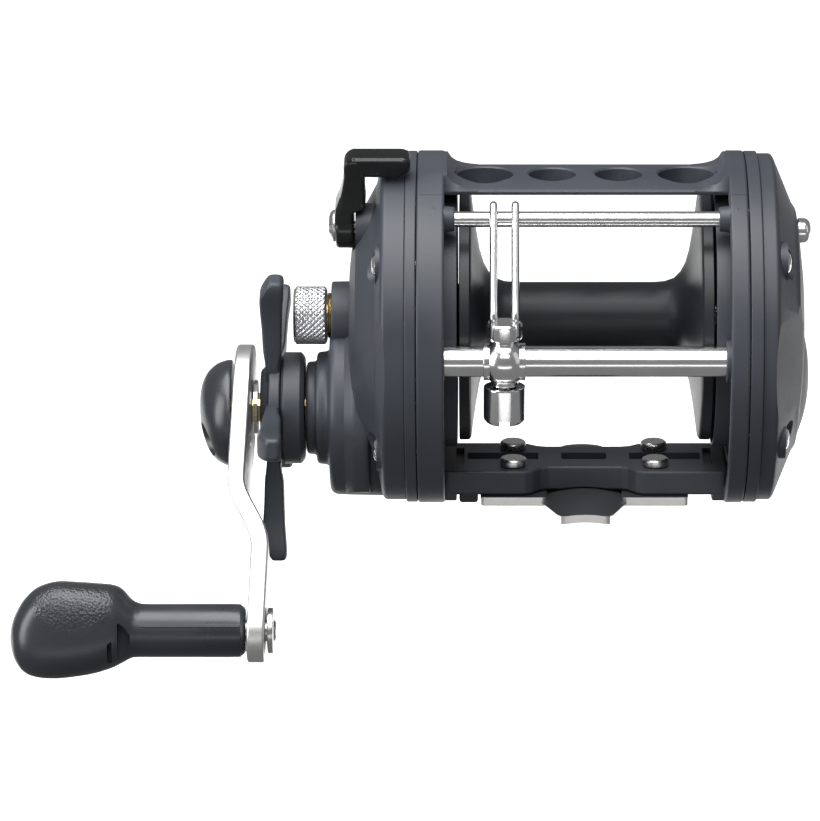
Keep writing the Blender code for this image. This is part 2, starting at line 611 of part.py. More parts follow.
def lever():
    """The free-spool lever: a hub, an arm that leans out over the cover, and a thumb pad."""
    def point(x, radial, across):
        base = forward(RING_AXIS, radial, LEVER_ANGLE)
        side = math.radians(LEVER_ANGLE)
        return (x, base[0] - across * math.cos(side), base[1] - across * math.sin(side))

    hub = lathe([(-60.2, 0), (-60.2, 4.8), (-59.7, 5.4), (-55.8, 5.4), (-55.8, 0)], LEVER_AXIS, SMALL)
    # Radial distance, the faces along X and the half width of each section
    arm_stations = ((28.8, -60.1, -55.9, 4.8), (34.4, -60.4, -55.9, 4.2), (35.4, -60.2, -53.9, 4.0),
                    (38.5, -59.2, -53.9, 3.6), (43.6, -58.3, -53.6, 3.2), (47.6, -57.9, -53.4, 3.0),
                    (48.5, -57.0, -53.8, 2.4))
    arm = loft([[point(x0, r, -w), point(x1, r, -w), point(x1, r, w), point(x0, r, w)]
                for r, x0, x1, w in arm_stations])
    # The place along X, the radial ends and the half width of each section
    pad_stations = ((-57.6, 43.9, 48.3, 2.6), (-56.4, 43.6, 48.5, 3.0), (-45.0, 43.6, 48.5, 3.0),
                    (-43.6, 44.2, 47.9, 2.4))
    chamfer = 0.9
    pad = []
    for x, low, high, w in pad_stations:
        side = w - chamfer
        corners = ((low, -side), (low + chamfer, -w), (high - chamfer, -w), (high, -side),
                   (high, side), (high - chamfer, w), (low + chamfer, w), (low, side))
        pad.append([point(x, radial, across) for radial, across in corners])
    body = union(hub, arm, loft(pad))
    body = cut(body, rod(-65, -50, 1.9, LEVER_AXIS, SMALL))
    node("clutch_lever", body, DARK, (-57.0, *LEVER_AXIS))
    screw = lathe([(-52.2, 0), (-52.2, 1.15), (-60.4, 1.15), (-60.4, 3.9), (-61.2, 3.8), (-61.9, 2.6),
                   (-61.9, 0)], LEVER_AXIS, SMALL)
    y, z = LEVER_AXIS
    slot = box(-63, -61.3, y - 6, y + 6, z - 0.45, z + 0.45)
    node("lever_screw", cut(screw, slot), STEEL, (-57.0, *LEVER_AXIS))


def drag_stack():
    shaft = lathe([(-40.2, 0), (-40.2, 3.0), (-47.2, 3.0), (-47.2, 4.0), (-59.9, 4.0), (-59.9, 5.0),
                   (-67.6, 5.0), (-67.6, 3.6), (-84.6, 3.6), (-84.6, 3.0), (-89.6, 3.0), (-89.6, 0)],
                  CRANK_AXIS, MEDIUM)
    node("drive_shaft", shaft, BRASS, (-60.0, *CRANK_AXIS))
    ratchet = []
    for i in range(RATCHET_TEETH):
        for radius, share in ((11.0, 0.0), (13.0, 0.8), (13.0, 0.93)):
            ratchet.append(polar(CRANK_AXIS, radius, 360.0 * (i + share) / RATCHET_TEETH))
    wheel = cut(prism(ratchet, -47.0, -46.1), rod(-50, -40, 3.3, CRANK_AXIS, SMALL))
    node("ratchet_wheel", wheel, STEEL, (-60.0, *CRANK_AXIS))
    for name, x0, x1, finish in (("drag_washer_carbon", -50.0, -49.2, CARBON),
                                 ("drag_washer_steel", -51.3, -50.3, STEEL)):
        node(name, tube(x0, x1, 12.8, 4.4, CRANK_AXIS, MEDIUM), finish, (-60.0, *CRANK_AXIS))
    node("one_way_bearing", tube(-66.9, -60.6, 8.0, 5.3, CRANK_AXIS, MEDIUM), STEEL)
    bridge = prism(two_circles(CRANK_AXIS, 10.0, SPOOL_AXIS, 9.0, 10), -45.8, -44.6)
    bridge = cut(bridge, rod(-50, -40, 3.4, CRANK_AXIS, SMALL), rod(-50, -40, 5.1, SPOOL_AXIS, MEDIUM))
    node("bridge_plate", bridge, STEEL)


# ---------------------------------------------------------------- star, handle and cast control

def star():
    sleeve = [(-74.0, 4.0), (-74.0, 13.0), (-73.4, 13.7), (-69.2, 13.7), (-68.4, 12.9), (-68.4, 4.0)]
    node("star_sleeve", lathe(sleeve, CRANK_AXIS, ROUND), BLACK, (-75.0, *CRANK_AXIS))
    body = lathe([(-79.2, 0), (-79.2, 9.2), (-78.5, 9.9), (-77.4, 10.4), (-77.1, 13.0), (-74.3, 13.0),
                  (-74.3, 0)], CRANK_AXIS, ROUND)
    # Radial distance, the faces along X and the half width of each section of an arm
    stations = ((9.0, -77.5, -74.4, 4.2), (14.6, -77.9, -74.4, 3.6), (18.0, -78.3, -73.7, 3.0),
                (26.0, -78.6, -73.4, 2.7), (31.0, -79.0, -73.1, 2.8), (34.4, -78.8, -73.0, 2.9),
                (36.8, -77.7, -73.0, 2.9), (37.6, -77.0, -73.7, 2.1))
    chamfer = 0.8
    for i in range(STAR_ARMS):
        angle = STAR_ANGLE + 360.0 * i / STAR_ARMS
        side = math.radians(angle)
        sections = []
        for radial, x0, x1, w in stations:
            y, z = forward(CRANK_AXIS, radial, angle)
            inner = w - chamfer
            loop = ((x0 + chamfer, -w), (x1 - chamfer, -w), (x1, -inner), (x1, inner),
                    (x1 - chamfer, w), (x0 + chamfer, w), (x0, inner), (x0, -inner))
            sections.append([(x, y - across * math.cos(side), z - across * math.sin(side))
                             for x, across in loop])
        body = union(body, loft(sections))
    node("star_wheel", cut(body, rod(-90, -60, 4.0, CRANK_AXIS, MEDIUM)), BLACK, (-75.0, *CRANK_AXIS))
    node("thrust_washer", tube(-80.9, -80.0, 6.8, 4.0, CRANK_AXIS, MEDIUM), STEEL, (-60.0, *CRANK_AXIS))


BEND_START, BEND_END = 28.0, 42.3
ARM_OUTER = -85.5
ARM_BEND = 6.65
ARM_LEAN = 0.035


def arm_outer(s):
    """Where the handle arm's outer face is, at a distance s from the crank axis."""
    share = min(1.0, max(0.0, (s - BEND_START) / (BEND_END - BEND_START)))
    return ARM_OUTER - ARM_LEAN * s + ARM_BEND * share


def arm_point(x, s, across):
    """A point of the handle: s along the arm, across it towards the rear."""
    y, z = forward(CRANK_AXIS, s, ARM_ANGLE)
    side = math.radians(ARM_ANGLE)
    return (x, y + across * math.cos(side), z + across * math.sin(side))


def handle_arm():
    taper = (ARM_BIG_RADIUS - ARM_SMALL_RADIUS) / ARM_LENGTH
    big_end = ARM_BIG_RADIUS * taper
    small_end = ARM_LENGTH + ARM_SMALL_RADIUS * taper
    stations = [-ARM_BIG_RADIUS * math.cos(math.radians(a)) for a in (0, 14, 28, 42, 56, 70, 82)]
    stations += [big_end, 12.0, 22.0, BEND_START, BEND_START + 2, BEND_END - 2, BEND_END, 50.0, small_end]
    stations += [ARM_LENGTH + ARM_SMALL_RADIUS * math.sin(math.radians(a)) for a in (22, 38, 54, 70, 90)]
    sections = []
    for s in stations:
        if s < big_end:
            half = math.sqrt(max(0.0, ARM_BIG_RADIUS ** 2 - s ** 2))
        elif s > small_end:
            half = math.sqrt(max(0.0, ARM_SMALL_RADIUS ** 2 - (s - ARM_LENGTH) ** 2))
        else:
            half = (ARM_BIG_RADIUS - taper * s) / math.sqrt(1 - taper ** 2)
        half = max(half, 0.4)
        outer = arm_outer(s)
        slope = ARM_BEND / (BEND_END - BEND_START) if BEND_START < s < BEND_END else 0.0
        inner = outer + ARM_THICKNESS * math.sqrt(1 + slope ** 2)
        sections.append([arm_point(outer, s, -half), arm_point(inner, s, -half),
                         arm_point(inner, s, half), arm_point(outer, s, half)])
    knob_axis = forward(CRANK_AXIS, ARM_LENGTH, ARM_ANGLE)
    screw_axis = forward(CRANK_AXIS, 9.6, ARM_ANGLE)
    arm = cut(loft(sections), rod(-95, -70, 4.0, CRANK_AXIS, MEDIUM),
              rod(-95, -70, 3.0, knob_axis, SMALL), rod(-95, -70, 1.5, screw_axis, TINY))
    node("handle_arm", arm, SILVER, (-60.0, *CRANK_AXIS))

    nut = cut(prism([polar(CRANK_AXIS, 5.6, 60.0 * i) for i in range(6)], -89.2, -86.1),
              rod(-95, -80, 3.3, CRANK_AXIS, SMALL))
    node("handle_nut", nut, STEEL, (-60.0, *CRANK_AXIS))
    screw = lathe([(-83.2, 0), (-83.2, 1.15), (-88.4, 1.15), (-88.4, 2.2), (-89.9, 2.0), (-89.9, 0)],
                  screw_axis, TINY)
    node("cap_screw", screw, STEEL, (-60.0, *CRANK_AXIS))
    spindle = lathe([(-74.2, 0), (-74.2, 2.2), (-74.8, 2.6), (-74.8, 5.0), (-75.2, 5.5), (-76.3, 5.5),
                     (-76.3, 2.6), (-107.0, 2.6), (-107.0, 0)], knob_axis, SMALL)
    node("knob_spindle", spindle, STEEL, (-60.0, *CRANK_AXIS))
    nut_cap(screw_axis)
    handle_knob(knob_axis)


def nut_cap(screw_axis):
    """An egg-shaped dome over the nut, longer towards the knob, with a sunk screw on that side."""
    levels = ((-86.2, 1.0), (-87.6, 1.0), (-90.0, 0.9), (-92.2, 0.72), (-93.6, 0.48), (-94.3, 0.2))
    sides = 28
    sections = []
    for x, scale in levels:
        loop = []
        for k in range(sides):
            angle = math.tau * k / sides
            reach = scale * (11.8 + 2.8 * max(0.0, math.cos(angle)) ** 1.5)
            lean = -1.6 * (1.0 - scale)
            loop.append(arm_point(x, lean + reach * math.cos(angle), reach * math.sin(angle)))
        sections.append(loop)
    cap = cut(loft(sections), rod(-91.4, -80.0, 6.4, CRANK_AXIS, MEDIUM),
              rod(-100.0, -88.1, 2.7, screw_axis, SMALL), rod(-100, -80, 1.5, screw_axis, TINY))
    node("nut_cap", cap, DARK, (-60.0, *CRANK_AXIS))


def handle_knob(axis):
    """A grip on a round stem: each section runs from its lower edge to its upper edge."""
    # Place along X, lower edge, upper edge, half depth, and how square the section is
    stations = ((-81.6, -5.3, 5.3, 5.3, 2.0), (-83.4, -6.4, 6.4, 6.4, 2.0),
                (-107.0, -6.4, 6.4, 6.4, 2.0), (-108.9, -6.6, 7.4, 6.6, 2.1),
                (-111.0, -7.6, 9.2, 7.4, 2.2), (-113.4, -8.8, 10.6, 8.2, 2.4),
                (-117.5, -10.1, 11.3, 8.8, 2.6), (-127.0, -11.3, 11.7, 9.0, 2.7),
                (-131.5, -11.2, 10.4, 8.6, 2.6), (-134.6, -10.0, 7.6, 7.6, 2.4),
                (-136.8, -7.2, 3.9, 5.6, 2.2), (-137.9, -3.6, 0.4, 2.4, 2.0))
    sides = 20
    up = math.radians(KNOB_TILT)
    sections = []
    for x, low, high, depth, power in stations:
        loop = []
        for k in range(sides):
            angle = math.tau * k / sides
            c, s = math.cos(angle), math.sin(angle)
            across = depth * math.copysign(abs(c) ** (2 / power), c)
            rise = (low + high) / 2 + (high - low) / 2 * math.copysign(abs(s) ** (2 / power), s)
            loop.append((x, axis[0] + across * math.cos(up) + rise * math.sin(up),
                         axis[1] - across * math.sin(up) + rise * math.cos(up)))
        sections.append(loop)
    knob = cut(loft(sections), rod(-108.0, -70.0, 3.0, axis, SMALL))
    node("handle_knob", knob, DARK, (-95.0, *axis))


def cast_control():
    bush = lathe([(-59.9, 2.9), (-59.9, 4.0), (-62.5, 4.0), (-62.5, 5.4), (-63.1, 5.4), (-63.1, 4.0),
                  (-66.4, 4.0), (-66.4, 2.9)], SPOOL_AXIS, MEDIUM)
    node("control_bushing", bush, BRASS)
    cap = lathe([(-68.4, 0), (-68.4, 4.4), (-63.4, 4.4), (-63.4, 6.6), (-63.9, 7.05), (-70.4, 7.05),
                 (-71.0, 6.4), (-71.0, 0)], SPOOL_AXIS, MEDIUM)
    node("control_cap", cap, CHROME, (-67.0, *SPOOL_AXIS))


# ---------------------------------------------------------------- level wind and clicker

def carriage():
    """The line guide: a turned body on the worm's tube, two hairpin wires, the pawl and its cap."""
    y, z = WORM_AXIS
    place = Matrix.Translation((CARRIAGE_X, y, z)) @ Matrix.Rotation(math.radians(-90), 4, "Y")
    profile = [(-5.6, 0), (-5.6, 3.4)]
    profile += [(h, math.sqrt(5.1 ** 2 - h ** 2)) for h in (-3.8, -2.0, 0.0, 2.0, 3.6)]
    profile += [(4.6, 3.1), (4.9, 4.35), (9.0, 4.35), (9.7, 3.9), (9.7, 0)]
    body = lathe(profile, (0, 0), MEDIUM)
    body.transform(place)
    neck_hole = rod(-9.0, -1.0, 2.7, (0, 0), SMALL)
    neck_hole.transform(place)
    tube_bore = rod(CARRIAGE_X - 10, CARRIAGE_X + 10, TUBE_RADIUS + 0.35, WORM_AXIS, MEDIUM)
    body = cut(body, tube_bore, neck_hole)
    for dx in (-2.6, 2.6):
        for dy in (-2.2, 2.2):
            body = cut(body, post(CARRIAGE_X + dx, y + dy, z + 6.6, z + 12.0, 1.35, SMALL))
    node("carriage_body", body, CHROME, (CARRIAGE_X, y, z))
    for name, dx in (("guide_wire_left", -2.6), ("guide_wire_right", 2.6)):
        node(name, sweep(hairpin(CARRIAGE_X + dx), WIRE_RADIUS), CHROME, (CARRIAGE_X, y, z))
    pawl = lathe([(-11.4, 0), (-11.4, 2.4), (-4.9, 2.4), (-4.9, 1.15), (-2.75, 1.0), (-2.75, 0)],
                 (0, 0), SMALL)
    pawl.transform(place)
    node("pawl", pawl, STEEL, (CARRIAGE_X, y, z))
    cap = lathe([(-15.0, 0), (-15.0, 4.2), (-14.2, 5.0), (-6.0, 5.0), (-6.0, 2.8), (-11.8, 2.8),
                 (-11.8, 0)], (0, 0), MEDIUM)
    cap.transform(place)
    cap = cut(cap, box(CARRIAGE_X - 1.2, CARRIAGE_X + 1.2, y - 8, y + 8, z - 20, z - 14.1))
    node("pawl_cap", cap, CHROME, (CARRIAGE_X, y, z))


def hairpin(x):
    """Up in front of the stabilizer bar, over it and down behind."""
    y, z = WORM_AXIS
    foot = Vector((y, z + 7.0))
    rim = Vector((y, z + 10.2))
    knee = Vector((y + 0.6, z + 13.0))
    head = Vector(BAR_AXIS)
    lean = (head - knee).normalized()
    side = Vector((-lean.y, lean.x))
    spread = BAR_RADIUS + WIRE_RADIUS + 0.55
    front = [foot + Vector((-2.2, 0)), rim + Vector((-2.2, 0)), knee + Vector((-2.2, 0.8)),
             head + side * spread]
    over = []
    for degrees in (30, 60, 90, 120, 150):
        turn = math.radians(degrees)
        over.append(head + spread * (math.cos(turn) * side + math.sin(turn) * lean))
    rear = [head - side * spread, knee + Vector((2.6, -1.6)), rim + Vector((2.2, 0)),
            foot + Vector((2.2, 0))]
    return [(x, p.x, p.y) for p in front + over + rear]


def clicker():
    head = lathe([(51.6, 0), (51.6, 3.1), (53.6, 3.1), (54.5, 2.4), (54.9, 1.2), (54.9, 0)],
                 (0.0, CLICK_Z), SMALL)
    button = union(head, rod(41.8, 51.8, 1.3, (0.0, CLICK_Z), TINY))
    node("click_button", button, CHROME, (50.0, 0.0, CLICK_Z))
    tongue = prism([(-3.0, CLICK_Z + 1.5), (-3.0, 57.5), (-0.8, 54.2), (0.8, 54.2), (3.0, 57.5),
                    (3.0, CLICK_Z + 1.5)], 40.2, 41.5)
    node("click_tongue", tongue, STEEL, (50.0, 0.0, CLICK_Z))


for leftover in list(bpy.data.objects):
    bpy.data.objects.remove(leftover)

frame()
top_bar()
trim_rings()
foot()
bars()
left_cover()
right_cover()
cover_screws()
spool()
gears()
worm_shaft()
clutch()
lever()
drag_stack()
star()
handle_arm()
cast_control()
carriage()
clicker()
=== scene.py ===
"""The looks of the level-wind trolling reel: fine pieces, materials, light and camera.

Lengths are in millimetres, apart from the studio's, which are in metres. X runs along the
spool axis, with the handle at -X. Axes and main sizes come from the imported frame, and
place() turns each finished mesh into metres.
"""
import json
import math

import bmesh
import bpy
from mathutils import Matrix, Vector


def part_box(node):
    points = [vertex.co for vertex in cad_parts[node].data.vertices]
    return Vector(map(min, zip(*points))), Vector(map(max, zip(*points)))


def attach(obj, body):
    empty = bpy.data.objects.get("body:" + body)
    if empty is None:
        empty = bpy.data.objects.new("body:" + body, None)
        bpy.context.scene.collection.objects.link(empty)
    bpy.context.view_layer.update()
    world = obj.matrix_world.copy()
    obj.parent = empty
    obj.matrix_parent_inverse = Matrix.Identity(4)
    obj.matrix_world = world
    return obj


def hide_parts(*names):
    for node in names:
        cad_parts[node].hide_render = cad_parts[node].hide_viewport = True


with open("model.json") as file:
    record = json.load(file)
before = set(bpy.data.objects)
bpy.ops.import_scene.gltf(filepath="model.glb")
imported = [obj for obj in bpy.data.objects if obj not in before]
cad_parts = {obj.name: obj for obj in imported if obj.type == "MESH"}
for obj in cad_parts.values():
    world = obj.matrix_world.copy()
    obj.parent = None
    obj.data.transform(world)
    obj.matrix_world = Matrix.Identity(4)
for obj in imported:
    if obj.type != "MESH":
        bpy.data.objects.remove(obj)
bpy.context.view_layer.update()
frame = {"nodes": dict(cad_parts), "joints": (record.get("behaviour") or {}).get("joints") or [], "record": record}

MM = 0.001
FINEST, FINE, MEDIUM, SMALL, TINY = 160, 128, 96, 64, 48    # sides of a turned piece


# ---------------------------------------------------------------- sizes

def span(name, axis):
    """The lowest and highest value of a node's box along an axis, in millimetres."""
    low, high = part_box(name)
    return low[axis] / MM, high[axis] / MM


def middle(name):
    """The (y, z) centre of a node's box, in millimetres."""
    return tuple(sum(span(name, axis)) / 2 for axis in (1, 2))


def joint_axis(name):
    """The (y, z) place of a joint's axis, in millimetres."""
    for joint in frame["joints"]:
        if joint["name"] == name:
            return joint["pos_m"][1] / MM, joint["pos_m"][2] / MM


RING_AXIS = middle("left_trim_ring")
SPOOL_AXIS = joint_axis("spool_turn")
CRANK_AXIS = joint_axis("crank_turn")
WORM_AXIS = joint_axis("worm_turn")
LEVER_AXIS = joint_axis("lever_turn")
KNOB_AXIS = joint_axis("knob_turn")
BAR_AXIS = middle("stabilizer_bar")
CLICK_AXIS = middle("click_button")
CARRIAGE_X = sum(span("carriage_body", 0)) / 2

RING_RADIUS = (span("frame", 1)[1] - span("frame", 1)[0]) / 2
LEFT_RING_END, RIGHT_RING_END = -span("frame", 0)[0], span("frame", 0)[1]
LEFT_COVER_START = -span("left_cover", 0)[1]
RIGHT_COVER_START = span("right_cover", 0)[0]
COVER_RADIUS = (span("left_cover", 1)[1] - span("left_cover", 1)[0]) / 2
BASE_TOP = span("foot_screw_1", 2)[1] - 2.2
ARM_LENGTH = math.dist(CRANK_AXIS, KNOB_AXIS)
WINDOW = 34.0           # half the width between the two rings
RING_BORE = 38.5
LUG_ANGLE = 27.0        # how far the thumb bar's lugs reach from straight up, in degrees
SCREW_CIRCLE = 36.3     # the radius that the cover screws stand on
LEFT_SCREW_ANGLES = (50.3, 128.8, -50.3, -128.8)
RIGHT_SCREW_ANGLES = (49.2, 121.4, -49.2, -121.4)
ARM_ANGLE = 134.0
LEVER_ANGLE = 16.4
STAR_ANGLE = 17.0
STAR_ARMS = 5
CLICK_TRAVEL = 4.0


# ---------------------------------------------------------------- outlines

def polar(centre, radius, degrees):
    """A point round a centre, counted from the first coordinate towards the second."""
    angle = math.radians(degrees)
    return (centre[0] + radius * math.cos(angle), centre[1] + radius * math.sin(angle))


def forward(centre, radius, degrees):
    """A (y, z) point, counted from straight up towards the rod tip."""
    return polar(centre, radius, 90.0 + degrees)


def spoke_point(x, centre, out, across, degrees):
    """A point on a spoke: out along it, then across it the way that degrees grow."""
    y, z = forward(centre, out, degrees)
    side = math.radians(degrees)
    return (x, y - across * math.cos(side), z - across * math.sin(side))


def arc(centre, radius, start, end, steps):
    return [polar(centre, radius, start + (end - start) * i / steps) for i in range(steps + 1)]


def belt(first, r1, second, r2, steps=20):
    """The outline of a belt round two circles."""
    along = math.degrees(math.atan2(second[1] - first[1], second[0] - first[0]))
    spread = math.degrees(math.acos((r1 - r2) / math.dist(first, second)))
    near = arc(first, r1, along + spread, along + 360 - spread, steps)
    far = arc(second, r2, along - spread, along + spread, steps)
    return near + far


def rounded(points, radius, closed=False, steps=4):
    """Replace the corners of a line or an outline by arcs."""
    count = len(points)
    result = []
    for i, corner in enumerate(points):
        if not closed and i in (0, count - 1):
            result.append(corner)
            continue
        here = Vector(corner)
        before, after = Vector(points[i - 1]) - here, Vector(points[(i + 1) % count]) - here
        turn = math.pi - before.angle(after)
        reach = min(radius * math.tan(turn / 2), 0.45 * before.length, 0.45 * after.length)
        if turn < math.radians(14) or reach < 0.01:
            result.append(corner)
            continue
        start, end = here + reach * before.normalized(), here + reach * after.normalized()
        for k in range(steps + 1):
            share = k / steps
            result.append(tuple((1 - share) ** 2 * start + 2 * share * (1 - share) * here + share ** 2 * end))
    return result


def soft_rectangle(low, high, half_width, corner):
    """A rectangle from low to high and half_width to either side, with rounded corners."""
    corners = [(low, -half_width), (high, -half_width), (high, half_width), (low, half_width)]
    return rounded(corners, corner, closed=True, steps=3)


def inset(points, distance):
    """Move a closed outline inwards. It runs counter-clockwise."""
    result = []
    for i, corner in enumerate(points):
        here = Vector(corner)
        into, out = here - Vector(points[i - 1]), Vector(points[(i + 1) % len(points)]) - here
        first = Vector((-into.y, into.x)).normalized()
        second = Vector((-out.y, out.x)).normalized()
        half = first + second
        result.append(tuple(here + distance * half / max(0.3, 1 + first.dot(second))))
    return result


def edge_levels(soft, steps):
    """(depth, rise) pairs round a softened edge, from the flat face to the side."""
    levels = []
    for i in range(steps + 1):
        turn = math.radians(90.0 * i / steps)
        levels.append((soft * (1 - math.sin(turn)), soft * (1 - math.cos(turn))))
    return levels


def counter_clockwise(points):
    area = sum(a[0] * b[1] - b[0] * a[1] for a, b in zip(points, points[1:] + points[:1]))
    return points if area > 0 else points[::-1]


def sided(points, side):
    """Points drawn for the right side, on the side that is asked for: -1 is left and 1 is right."""
    return [(side * a, b) for a, b in points]


def mirrored(half):
    """A symmetric line, from the half of it that lies at positive first coordinates."""
    return [(-a, b) for a, b in half[::-1]] + half


def smooth_line(points, steps):
    """A smooth curve through every point, with steps stretches between neighbours."""
    rows = [tuple(p) for p in points]
    padded = [rows[0]] + rows + [rows[-1]]
    result = []
    for i in range(len(rows) - 1):
        p0, p1, p2, p3 = padded[i:i + 4]
        for k in range(steps):
            t = k / steps
            result.append(tuple(0.5 * (2 * b + (c - a) * t + (2 * a - 5 * b + 4 * c - d) * t * t
                                       + (3 * b - a - 3 * c + d) * t ** 3)
                                for a, b, c, d in zip(p0, p1, p2, p3)))
    return result + [rows[-1]]


# ---------------------------------------------------------------- meshes

def solid(vertices, faces):
    mesh = bpy.data.meshes.new("solid")
    mesh.from_pydata([tuple(v) for v in vertices], [], faces)
    shape = bmesh.new()
    shape.from_mesh(mesh)
    bmesh.ops.remove_doubles(shape, verts=shape.verts, dist=0.0005)
    bmesh.ops.recalc_face_normals(shape, faces=shape.faces)
    shape.to_mesh(mesh)
    shape.free()
    return mesh


def lathe(profile, at=(0.0, 0.0), segments=SMALL, soft=0.0):
    """Turn (x, radius) points round an axis along X; soft rounds the profile's corners."""
    touches = profile[0][1] == 0 and profile[-1][1] == 0
    if soft:
        profile = rounded(profile, soft, closed=not touches)
    vertices, rings = [], []
    for x, radius in profile:
        if radius < 1e-6:
            rings.append([len(vertices)])
            vertices.append((x, at[0], at[1]))
            continue
        rings.append(list(range(len(vertices), len(vertices) + segments)))
        for i in range(segments):
            angle = math.tau * i / segments
            vertices.append((x, at[0] + radius * math.cos(angle), at[1] + radius * math.sin(angle)))
    pairs = list(zip(rings, rings[1:]))
    if not touches:
        pairs.append((rings[-1], rings[0]))
    faces = []
    for low, high in pairs:
        for i in range(segments):
            j = (i + 1) % segments
            corners = [low[i % len(low)], low[j % len(low)], high[j % len(high)], high[i % len(high)]]
            faces.append(list(dict.fromkeys(corners)))
    return solid(vertices, faces)


def rod(x0, x1, radius, at=(0.0, 0.0), segments=TINY, soft=0.0):
    return lathe([(x0, 0), (x0, radius), (x1, radius), (x1, 0)], at, segments, soft)


def tube(x0, x1, radius, bore, at=(0.0, 0.0), segments=SMALL, soft=0.0):
    return lathe([(x0, bore), (x0, radius), (x1, radius), (x1, bore)], at, segments, soft)


def loft(sections):
    """Join equal loops of points into one solid, with flat ends."""
    count = len(sections[0])
    vertices = [point for section in sections for point in section]
    faces = [list(range(count))[::-1], list(range(len(vertices) - count, len(vertices)))]
    for k in range(len(sections) - 1):
        low, high = k * count, (k + 1) * count
        for i in range(count):
            j = (i + 1) % count
            faces.append([low + i, low + j, high + j, high + i])
    return solid(vertices, faces)


def prism(outline, low, high, axis="x", soft=0.0):
    """Push an outline from low to high; soft rounds the edges of both ends."""
    def point(level, a, b):
        return {"x": (level, a, b), "y": (a, level, b), "z": (a, b, level)}[axis]
    outline = counter_clockwise(outline)
    if not soft:
        return loft([[point(level, a, b) for a, b in outline] for level in (low, high)])
    levels = edge_levels(soft, 3)
    ends = [(low + rise, depth) for depth, rise in levels]
    ends += [(high - rise, depth) for depth, rise in levels[::-1]]
    return loft([[point(level, a, b) for a, b in inset(outline, depth)] for level, depth in ends])


def box(x0, x1, y0, y1, z0, z1):
    return prism([(y0, z0), (y1, z0), (y1, z1), (y0, z1)], x0, x1)


def post(x, y, z0, z1, radius, segments):
    """A cylinder along Z."""
    return prism([polar((x, y), radius, 360.0 * i / segments) for i in range(segments)], z0, z1, "z")


def loop_round(x, radii, at):
    """A closed loop round an axis along X, with its own radius at each of its points."""
    return [(x, *polar(at, radius, 360.0 * k / len(radii))) for k, radius in enumerate(radii)]


def stand(mesh, x, y, z):
    """Turn a mesh that was made along X upright, with its origin at a point."""
    mesh.transform(Matrix.Translation((x, y, z)) @ Matrix.Rotation(math.radians(-90), 4, "Y"))
    return mesh


def sweep(path, radius, sides=16):
    """A round wire along a path that stays in one plane across X."""
    sections = []
    for i, point in enumerate(path):
        ahead = Vector(path[min(i + 1, len(path) - 1)]) - Vector(path[max(i - 1, 0)])
        ahead.normalize()
        side = Vector((1, 0, 0))
        other = ahead.cross(side)
        sections.append([Vector(point) + radius * (math.cos(math.tau * k / sides) * side
                                                   + math.sin(math.tau * k / sides) * other)
                         for k in range(sides)])
    return loft(sections)


def boolean(body_mesh, tool_mesh, operation):
    body = bpy.data.objects.new("body", body_mesh)
    tool = bpy.data.objects.new("tool", tool_mesh)
    for part in (body, tool):
        bpy.context.scene.collection.objects.link(part)
    modifier = body.modifiers.new("boolean", "BOOLEAN")
    modifier.operation = operation
    modifier.object = tool
    result = bpy.data.meshes.new_from_object(body.evaluated_get(bpy.context.evaluated_depsgraph_get()))
    for part in (body, tool):
        bpy.data.objects.remove(part)
    shape = bmesh.new()
    shape.from_mesh(result)
    bmesh.ops.remove_doubles(shape, verts=shape.verts, dist=0.002)
    bmesh.ops.dissolve_degenerate(shape, edges=shape.edges, dist=0.002)
    shape.to_mesh(result)
    shape.free()
    return result


def union(mesh, *others):
    for other in others:
        mesh = boolean(mesh, other, "UNION")
    return mesh


def cut(mesh, *tools):
    for tool in tools:
        mesh = boolean(mesh, tool, "DIFFERENCE")
    return mesh


def common(mesh, other):
    return boolean(mesh, other, "INTERSECT")


def joined(*meshes):
    """Several solids as one mesh, where they may run into each other."""
    shape = bmesh.new()
    for mesh in meshes:
        shape.from_mesh(mesh)
    result = bpy.data.meshes.new("joined")
    shape.to_mesh(result)
    shape.free()
    return result


def place(name, mesh, material, body, replaces=()):
    """Give a finished mesh its material and its body, and hide the nodes that it stands for."""
    mesh.transform(Matrix.Scale(MM, 4))
    mesh.name = name
    mesh.materials.clear()
    for finish in (material if isinstance(material, (list, tuple)) else [material]):
        mesh.materials.append(finish)
    mesh.shade_smooth()
    mesh.set_sharp_from_angle(angle=math.radians(32))
    piece = bpy.data.objects.new(name, mesh)
    bpy.context.scene.collection.objects.link(piece)
    piece.modifiers.new("weighted_normal", "WEIGHTED_NORMAL").keep_sharp = True
    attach(piece, body)
    if replaces:
        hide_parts(*replaces)
    return piece


# ---------------------------------------------------------------- materials

def new_material(name):
    """A material, its node tree and its shader's sockets."""
    material = bpy.data.materials.new(name)
    material.use_nodes = True
    tree = material.node_tree
    return material, tree, tree.nodes["Principled BSDF"].inputs


def fill(tree, sockets, **values):
    """Set each named socket to a value, or link it to another node's output."""
    for name, value in values.items():
        socket = sockets[name.replace("_", " ")]
        if isinstance(value, bpy.types.NodeSocket):
            tree.links.new(value, socket)
        else:
            socket.default_value = value


def add(tree, kind, **values):
    node = tree.nodes.new("ShaderNode" + kind)
    fill(tree, node.inputs, **values)
    return node


def combined(tree, operation, first, second):
    node = tree.nodes.new("ShaderNodeMath")
    node.operation = operation
    tree.links.new(first, node.inputs[0])
    tree.links.new(second, node.inputs[1])
    return node.outputs[0]


def own_space(tree):
    """Where a point lies in its object's own space, in metres."""
    return add(tree, "TexCoord").outputs["Object"]


def noise(tree, scale, detail=3.0, stretch=(1.0, 1.0, 1.0)):
    """Noise over the object's own space; scale is in cycles per metre."""
    where = add(tree, "Mapping", Vector=own_space(tree), Scale=stretch).outputs["Vector"]
    return add(tree, "TexNoise", Vector=where, Scale=scale, Detail=detail).outputs["Fac"]


